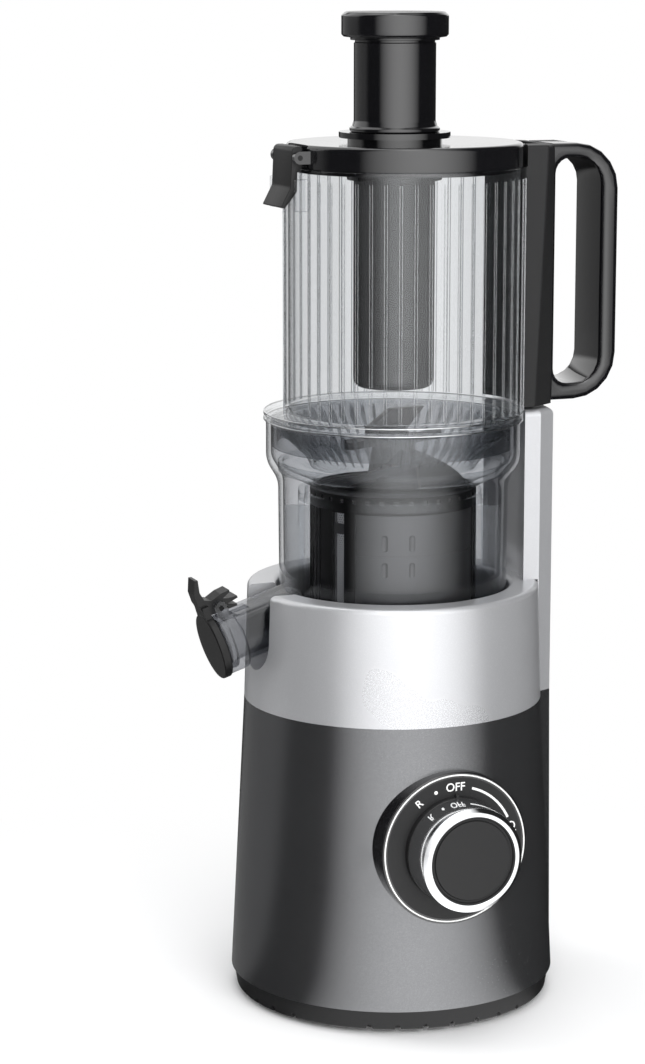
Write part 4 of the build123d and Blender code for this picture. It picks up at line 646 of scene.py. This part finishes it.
# ---------------------------------------------------------------- bowl
bowl_low, bowl_high = limits("juice_bowl")
rim = bowl_high.z
foot = bowl_low.z
FLOOR = foot + 11.7
FLOOR_TOP = FLOOR + 2.4
BOWL_OUT, RIM_OUT, FOOT_OUT = 52.7, 58.2, 52.0
bowl_wall = turned([(FOOT_OUT, foot, 0.4), (BOWL_OUT, rim - 27.5, 14), (RIM_OUT, rim - 18.5, 12),
                    (RIM_OUT, rim, 0.8), (RIM_OUT - 2.2, rim, 0.8), (RIM_OUT - 2.2, rim - 16.5, 8),
                    (BOWL_OUT - 2.2, rim - 25.5, 12), (BOWL_OUT - 2.7, FLOOR_TOP, 3),
                    (11, FLOOR_TOP, 0.3), (11, FLOOR, 0.3), (FOOT_OUT - 2.2, FLOOR, 0.5),
                    (FOOT_OUT - 2.2, foot, 0.4)])
TILT = radians(17.5)
ROOT = Vector((-BOWL_OUT - 0.3, 0, 181.0))
SPOUT_WIDE, SPOUT_HIGH = 22.0, 24.0
SPOUT_LONG, LIP_LONG, LIP_OUT, LIP_IN = 24.0, 9.5, 14.8, 12.8
# the spout's own frame: X out along it, Z up, square to it
spout_frame = Matrix(((-cos(TILT), 0, -sin(TILT), ROOT.x * MM), (0, -1, 0, 0),
                      (-sin(TILT), 0, cos(TILT), ROOT.z * MM), (0, 0, 0, 1)))
along_x = Matrix(((0, 0, 1, 0), (1, 0, 0, 0), (0, 1, 0, 0), (0, 0, 0, 1)))


def across(corners, low, high):
    """Outline square to the spout, width and height, between two distances along it."""
    piece = slab(corners, low, high)
    piece.data.transform(spout_frame @ along_x)
    return piece


def spout_turned(corners):
    """Turned about the spout's own line: radius and distance along it."""
    piece = turned(corners, steps=96)
    piece.data.transform(spout_frame @ along_x)
    return piece


def spout_section(inset):
    """Outline of the spout's section, round below and flat above, this far inside its wall."""
    wide, high = SPOUT_WIDE / 2 - inset, SPOUT_HIGH / 2 - inset
    return [(-wide, -high, wide - 0.3), (wide, -high, wide - 0.3), (wide, high, 2.6 - inset / 2),
            (-wide, high, 2.6 - inset / 2)]


spout = across(spout_section(0), -8, SPOUT_LONG + 1)
lip = spout_turned([(0.0, SPOUT_LONG), (LIP_OUT, SPOUT_LONG, 1.6),
                    (LIP_OUT, SPOUT_LONG + LIP_LONG, 0.5),
                    (LIP_IN, SPOUT_LONG + LIP_LONG, 0.4), (LIP_IN, SPOUT_LONG + 5.2, 0.4),
                    (0.0, SPOUT_LONG + 5.2)])
inside = turned([(0, FLOOR_TOP), (BOWL_OUT - 2.75, FLOOR_TOP), (BOWL_OUT - 2.3, rim - 27),
                 (0, rim - 27)])
bore = across(spout_section(2.0), -14, SPOUT_LONG + 6)
PIN_ALONG, PIN_UP = 29.5, 17.6
ear = slab([(PIN_ALONG - 3, 11.0), (PIN_ALONG + 3, 11.0), (PIN_ALONG + 3, PIN_UP + 3, 2.9),
            (PIN_ALONG - 3, PIN_UP + 3, 2.9)], 5.0, 8.0, upright=True)
ears = copies(ear, [spout_frame, spout_frame @ Matrix.Translation((0, -13 * MM, 0))])
groove = slab([(16.0, 10.5), (28.6, 10.5), (28.6, 22), (16.0, 22)], -5, 5, upright=True)
groove.data.transform(spout_frame)
spout = weld(spout, lip)
spout = carve(spout, inside, bore, groove)
spout = weld(spout, ears)
keep(spout, "spout_shell", "bowl", "smoky_clear", ["juice_spout"], FINISH["spout_smoke"], smooth=30)
hole = across(spout_section(2.0), -14, 6)
bowl_wall = carve(bowl_wall, hole)
duct_low, duct_high = limits("pulp_duct")
duct = block((-9.5, duct_low.y, foot), (9.5, duct_high.y, FLOOR + 0.3), 0.5)
duct = carve(duct, block((-7.5, duct_low.y + 2, foot + 2), (7.5, duct_high.y + 5, FLOOR - 2)))
PULP_RADIUS = 7.2
pulp_hole = turned([(0, FLOOR - 2.5), (PULP_RADIUS, FLOOR - 2.5), (PULP_RADIUS, FLOOR_TOP + 1),
                    (0, FLOOR_TOP + 1)], steps=48)
pulp_hole.data.transform(Matrix.Translation((0, (duct_low.y + 10) * MM, 0)))
pinion_pin = turned([(0, FLOOR_TOP - 1), (3.0, FLOOR_TOP - 1), (3.0, FLOOR_TOP + 7.2, 0.4),
                     (0, FLOOR_TOP + 7.2)])
PINION_AWAY = 18.5616            # along -X and along -Y
pinion_pin.data.transform(Matrix.Translation((-PINION_AWAY * MM, -PINION_AWAY * MM, 0)))
bowl_shell = carve(weld(bowl_wall, duct, pinion_pin), pulp_hole)
keep(bowl_shell, "bowl_shell", "bowl", "smoky_clear", ["juice_bowl", "juice_floor", "pulp_duct"],
     smooth=30)

# ---------------------------------------------------------------- feed blade
hub_low, hub_high = limits("feed_blade")
blade = slab([(-14.2, hub_low.z + 0.1), (-14.2, hub_low.z + 7.5), (-1.7, hub_high.z),
              (15.8, hub_high.z), (10.3, hub_low.z + 10.0), (5.5, hub_low.z + 4.6),
              (5.0, hub_low.z + 0.1)], -2.2, 2.2, upright=True)
round_edges(blade, 0.5)
blade.data.transform(Matrix.Translation((1.4 * MM, 3.4 * MM, 0)) @ turn(10))
hub = turned([(0, hub_low.z), (9.0, hub_low.z), (9.0, hub_low.z + 3.0, 1.5),
              (6.0, hub_low.z + 6.5, 2.0),
              (0, hub_low.z + 6.5)])
sweeps = []
for side, rise in ((196, 3.4), (16, 3.0)):
    sweep = slab([(2, -7), (26, -3.0, 2), (31.5, 4.0, 3), (27, 7, 2), (18, 3.2, 4), (4, 6)],
                 hub_low.z + 0.05, hub_low.z + rise)
    sweep.data.transform(turn(side))
    sweeps.append(sweep)
keep(weld(hub, blade, *sweeps), "feed_fin", "auger", "auger_grey", ["feed_blade"])

# ---------------------------------------------------------------- strainer
rim_z = limits("strainer_frame")[1].z
BASKET_OUT, BASKET_IN = 37.4, 35.9
wall_low = 175.0
basket_top = 239.0
basket = turned([(17.5, 172.6, 0.4), (BASKET_OUT, 172.6, 0.6), (BASKET_OUT, basket_top, 0.6),
                 (BASKET_IN, basket_top, 0.4), (BASKET_IN, wall_low), (17.5, wall_low, 0.4)])
SEAT_OUT, SEAT_IN = 52.7, 50.7
seat = turned([(BASKET_IN, basket_top + 0.02), (BASKET_OUT, basket_top + 0.02),
               (50.0, rim_z - 5, 1.0), (SEAT_OUT, rim_z - 5, 0.6), (SEAT_OUT, rim_z, 0.8),
               (SEAT_IN, rim_z, 0.6), (SEAT_IN, rim_z - 2.4, 0.6),
               (BASKET_IN, basket_top + 2.4, 1.5)])
keep(seat, "strainer_seat", "bowl", "strainer_grey", finish=FINISH["clear"])
cutters = []
BAR_STEP = 21.0
for low, high in ((wall_low + 3, wall_low + 46), (wall_low + 50.5, wall_low + 63.5)):
    half = 33.0 * tan(radians(BAR_STEP / 2 - 1.6))
    for side in (0, 180):
        for bar in range(4):
            window = block((30, -half, low), (41, half, high), 1.2)
            window.data.transform(turn(side - 2 * BAR_STEP + BAR_STEP * (bar + 0.5)))
            cutters.append(window)
for low, high in ((214.0, 222.0), (202.0, 209.5)):
    for angle in (242, 261, 62, 81):
        dimple = block((BASKET_OUT - 0.7, -1.7, low), (41, 1.7, high), 1.5)
        dimple.data.transform(turn(angle))
        cutters.append(dimple)
ring = turned([(BASKET_OUT - 0.35, 211.7), (BASKET_OUT + 1, 211.7), (BASKET_OUT + 1, 212.3),
               (BASKET_OUT - 0.35, 212.3)])
carve(basket, gather(cutters), ring)
keep(basket, "strainer_basket", "bowl", "strainer_grey", ["strainer_frame"],
     finish=FINISH["strainer_grey"])
# dark band round the top with its row of slots, and the posts between the windows
band = turned([(BASKET_OUT - 0.1, basket_top - 8.5), (BASKET_OUT + 0.7, basket_top - 8.3, 0.3),
               (BASKET_OUT + 0.7, basket_top - 0.4, 0.3), (BASKET_OUT - 0.1, basket_top - 0.2)])
slot = block((BASKET_OUT - 1, -1.1, basket_top - 3.6), (BASKET_OUT + 2, 1.1, basket_top - 1.8), 0.3)
posts = []
for angle, thick in ((216.6, 5.8), (195.7, 8.6), (186.0, 1.0), (180.0, 1.0), (172.0, 1.2),
                     (160.0, 3.0), (146.0, 8.0)):
    for side in (0, 180):
        post = block((BASKET_OUT - 0.1, -thick / 2, wall_low + 1.5),
                     (BASKET_OUT + 0.7, thick / 2, basket_top - 8.0), 0.25)
        post.data.transform(turn(angle + side))
        posts.append(post)
band = carve(band, copies(slot, [turn(n * 10) for n in range(36)]))
keep(gather([band] + posts), "strainer_band", "bowl", "strainer_grey", finish=FINISH["latch_black"])
screen = turned([(35.3, wall_low + 0.5), (35.85, wall_low + 0.5), (35.85, basket_top - 0.5),
                 (35.3, basket_top - 0.5)])
keep(screen, "strainer_screen", "bowl", "steel", ["strainer_mesh"], finish=FINISH["perforated"])

# ---------------------------------------------------------------- dial
DIAL_Z = 86.0
face_y = limits("dial_face")[0].y


def on_dial(piece, forward):
    """Lays a flat piece onto the dial: its own Y points up and its Z at the user."""
    piece.data.transform(Matrix.Translation((0, (face_y - forward) * MM, DIAL_Z * MM))
                         @ Matrix.Rotation(radians(90), 4, "X"))
    return piece


def dial_turned(corners):
    """Turned about the dial's own line: radius and how far it stands out of the face."""
    return on_dial(turned(corners, steps=128), 0)


RING_RADIUS = 33.7
ring_line = dial_turned([(RING_RADIUS - 0.32, -0.05), (RING_RADIUS + 0.32, -0.05),
                         (RING_RADIUS + 0.32, 0.12), (RING_RADIUS - 0.32, 0.12)])
marks = [ring_line]
MARK_RADIUS = 28.2


def word(text, angle, size):
    """Raised word on the dial, its angle counted clockwise from the top."""
    bpy.ops.object.select_all(action="DESELECT")
    bpy.ops.object.text_add()
    made = bpy.context.object
    made.data.body = text
    made.data.size = size * MM
    made.data.align_x = "CENTER"
    made.data.align_y = "CENTER"
    made.data.extrude = 0.05 * MM
    made.data.offset = 0.06 * MM
    made.data.resolution_u = 4
    bpy.ops.object.convert(target="MESH")
    made = bpy.context.object
    made.data.transform(Matrix.Rotation(-radians(angle), 4, "Z")
                        @ Matrix.Translation((0, MARK_RADIUS * MM, 0)))
    return on_dial(made, 0.04)


def arc_line(start, end, radius, thick):
    """Flat line round the dial between two angles, counted clockwise from the top."""
    ends = [radians(90 - start), radians(90 - end)]
    count = max(3, int(abs(end - start) / 3))
    turns = [ends[0] + (ends[1] - ends[0]) * n / count for n in range(count + 1)]
    outer = [(cos(a) * (radius + thick / 2), sin(a) * (radius + thick / 2)) for a in turns]
    inner = [(cos(a) * (radius - thick / 2), sin(a) * (radius - thick / 2)) for a in turns]
    return on_dial(slab(outer + inner[::-1], -0.05, 0.09), 0)


def dot(angle, radius, size):
    bpy.ops.object.select_all(action="DESELECT")
    bpy.ops.mesh.primitive_cylinder_add(vertices=24, radius=size * MM, depth=0.18 * MM)
    made = bpy.context.object
    made.data.transform(Matrix.Translation((radius * sin(radians(angle)) * MM,
                                            radius * cos(radians(angle)) * MM, 0)))
    return on_dial(made, 0.0)


marks += [word("OFF", 0, 5.3), word("R", -38, 5.0), word("ON", 78, 5.3),
          dot(-19.5, MARK_RADIUS, 0.85),
          arc_line(16.5, 65, MARK_RADIUS, 1.05)]
keep(gather(marks), "dial_marks", "base", "white_plastic", finish=FINISH["white_print"])

# ---------------------------------------------------------------- knob
KNOB_OUT, RIM_EDGE = 23.7, 22.2
knob_front = face_y - limits("knob_rim")[0].y
keep(dial_turned([(19.9, 3.4), (KNOB_OUT, 3.4), (KNOB_OUT, knob_front - 1.5, 0.4),
                  (RIM_EDGE, knob_front - 0.3, 0.3), (RIM_EDGE - 0.4, knob_front, 0.3),
                  (20.1, knob_front, 0.3), (19.9, knob_front - 0.5)]),
     "dial_rim", "knob", "chrome", ["knob_rim"], smooth=25)
keep(dial_turned([(0, knob_front - 0.9), (17.9, knob_front - 0.9, 0.3),
                  (18.2, knob_front - 1.8, 0.2), (19.2, knob_front - 1.8, 0.2),
                  (19.5, knob_front - 0.6, 0.2), (19.9, knob_front - 0.6),
                  (19.9, knob_front - 2.6), (0, knob_front - 2.6)]),
     "dial_cap", "knob", "black_satin", ["knob_cap"], FINISH["dial_grey"], smooth=25)
pointer = slab([(-0.9, KNOB_OUT - 0.2), (0.9, KNOB_OUT - 0.2), (0.5, KNOB_OUT + 1.6),
                (-0.5, KNOB_OUT + 1.6)], 1.0, 2.6)
keep(on_dial(pointer, 0), "dial_pointer", "knob", "black_satin")

# ---------------------------------------------------------------- floor, light, camera
# The floor is painted with this pattern too, by place, as a glow that only gloss sees.
def studio(tree, x, y, z):
    """Brightness of the studio in a direction, as gloss shows it: a broad soft panel in front,
    dark on both sides of it, a white sweep on the left and behind, and light from above."""
    bearing = x.math("ARCTAN2", y * -1.0) * (180 / pi)
    away = (bearing + 8.0) * (1 / 59.0)
    panel = (1.0 - away * away).math("MAXIMUM", 0.0)
    raised = tree.step(z, 0.0, 0.16)
    left = tree.step(bearing, -98.0, -116.0) * tree.step(bearing, -180.0, -168.0)
    behind = tree.step(bearing, 118.0, 140.0) * tree.step(z, 0.0, 0.05)
    overhead = tree.step(z, 0.80, 0.95) * 0.7
    return panel * 2.2 + left * (raised * 0.70 + 0.22) + behind * 0.9 + overhead + 0.02


def is_ray(tree, *kinds):
    """1 for rays of any of these kinds."""
    found = None
    for kind in kinds:
        one = tree.node("ShaderNodeLightPath", out="Is " + kind + " Ray")
        found = one if found is None else found.math("MAXIMUM", one)
    return found


def glow(tree, strength):
    return tree.node("ShaderNodeEmission", None, {"Color": (1, 1, 1), "Strength": strength})


def mixed(tree, share, first, second):
    return tree.node("ShaderNodeMixShader", None, [share, first, second])


floor_paint = Paint("pale_floor", Base_Color=(0.88, 0.88, 0.88), Roughness=0.8)
across_x, across_y, across_z = floor_paint.axes()
spread = (across_x * across_x + across_y * across_y) ** 0.5
lit_floor = Value(floor_paint, floor_paint.shader.outputs[0])
seen_floor = mixed(floor_paint, floor_paint.step(spread, 0.08, 0.34), lit_floor,
                   glow(floor_paint, 1.0))
# Painted light: glossy parts see the floor glow with the studio pattern laid out on it by place, a
# bright wedge in front of the juicer and a dim one on its left and behind, in place of its lit
# colour.
floor_painted_glow = glow(floor_paint, studio(floor_paint, across_x, across_y, across_z) * 0.85)
floor_look = mixed(floor_paint, is_ray(floor_paint, "Glossy"), lit_floor, floor_painted_glow)
floor_look = mixed(floor_paint, is_ray(floor_paint, "Camera", "Transmission"), floor_look,
                   seen_floor)
floor_paint.tree.links.new(floor_look.socket, floor_paint.out.inputs["Surface"])
bpy.ops.object.select_all(action="DESELECT")
bpy.ops.mesh.primitive_plane_add(size=8.0, location=(0, 0, 0))
floor = bpy.context.object
floor.name = "floor"
dress(floor, floor_paint.material)

room = bpy.data.worlds.new("pale_room")
room.use_nodes = True
scene.world = room
sky = Shading(room.node_tree)
ray_x, ray_y, ray_z = sky.split(sky.node("ShaderNodeTexCoord", out="Generated"))
soft = sky.node("ShaderNodeBackground", None, {"Color": (0.96, 0.97, 1.0), "Strength": 0.30})
plain = sky.node("ShaderNodeBackground", None, {"Color": (1, 1, 1), "Strength": 1.0})
shown = sky.node("ShaderNodeBackground", None,
                 {"Color": (1, 1, 1), "Strength": studio(sky, ray_x, ray_y, ray_z)})
look = mixed(sky, is_ray(sky, "Glossy"), soft, shown)
look = mixed(sky, is_ray(sky, "Camera", "Transmission"), look, plain)
sky.tree.links.new(look.socket, sky.raw("ShaderNodeOutputWorld").inputs["Surface"])


def softbox(name, place, aim, width, height, power):
    """Soft lamp that lights the part but doesn't show in its gloss."""
    light = bpy.data.lights.new(name, "AREA")
    light.shape = "RECTANGLE"
    light.size = width
    light.size_y = height
    light.energy = power
    lamp = bpy.data.objects.new(name, light)
    scene.collection.objects.link(lamp)
    lamp.location = place
    lamp.rotation_euler = (Vector(aim) - Vector(place)).to_track_quat("-Z", "Y").to_euler()
    lamp.visible_glossy = False
    return lamp


softbox("front_panel", (-0.15, -1.6, 0.75), (0, 0, 0.22), 1.6, 1.4, 36)
softbox("top", (0.0, 0.0, 1.7), (0, 0, 0.0), 1.4, 1.4, 22)
softbox("back_left", (-1.2, 1.0, 0.8), (0, 0, 0.25), 0.6, 1.2, 8)

CAMERA_TURN = -22.5
CAMERA_DISTANCE = 1.356
CAMERA_HEIGHT = 0.475
CAMERA_PITCH = 10.8
CAMERA_YAW = 1.367
FOCAL_PIXELS = 3000.0
SENSOR_HEIGHT = 36.0
FRAME_HEIGHT = 1064          # pixels
camera = bpy.data.cameras.new("camera")
camera.sensor_fit = "VERTICAL"
camera.sensor_height = SENSOR_HEIGHT
camera.lens = FOCAL_PIXELS * SENSOR_HEIGHT / FRAME_HEIGHT
camera.clip_start = 0.05
eye = bpy.data.objects.new("camera", camera)
scene.collection.objects.link(eye)
bearing = radians(CAMERA_TURN)
eye.location = (CAMERA_DISTANCE * sin(bearing), -CAMERA_DISTANCE * cos(bearing), CAMERA_HEIGHT)
eye.rotation_euler = (radians(90 - CAMERA_PITCH), 0, bearing + radians(CAMERA_YAW))
scene.camera = eye
scene.view_settings.view_transform = "Standard"
scene.cycles.transparent_max_bounces = 32
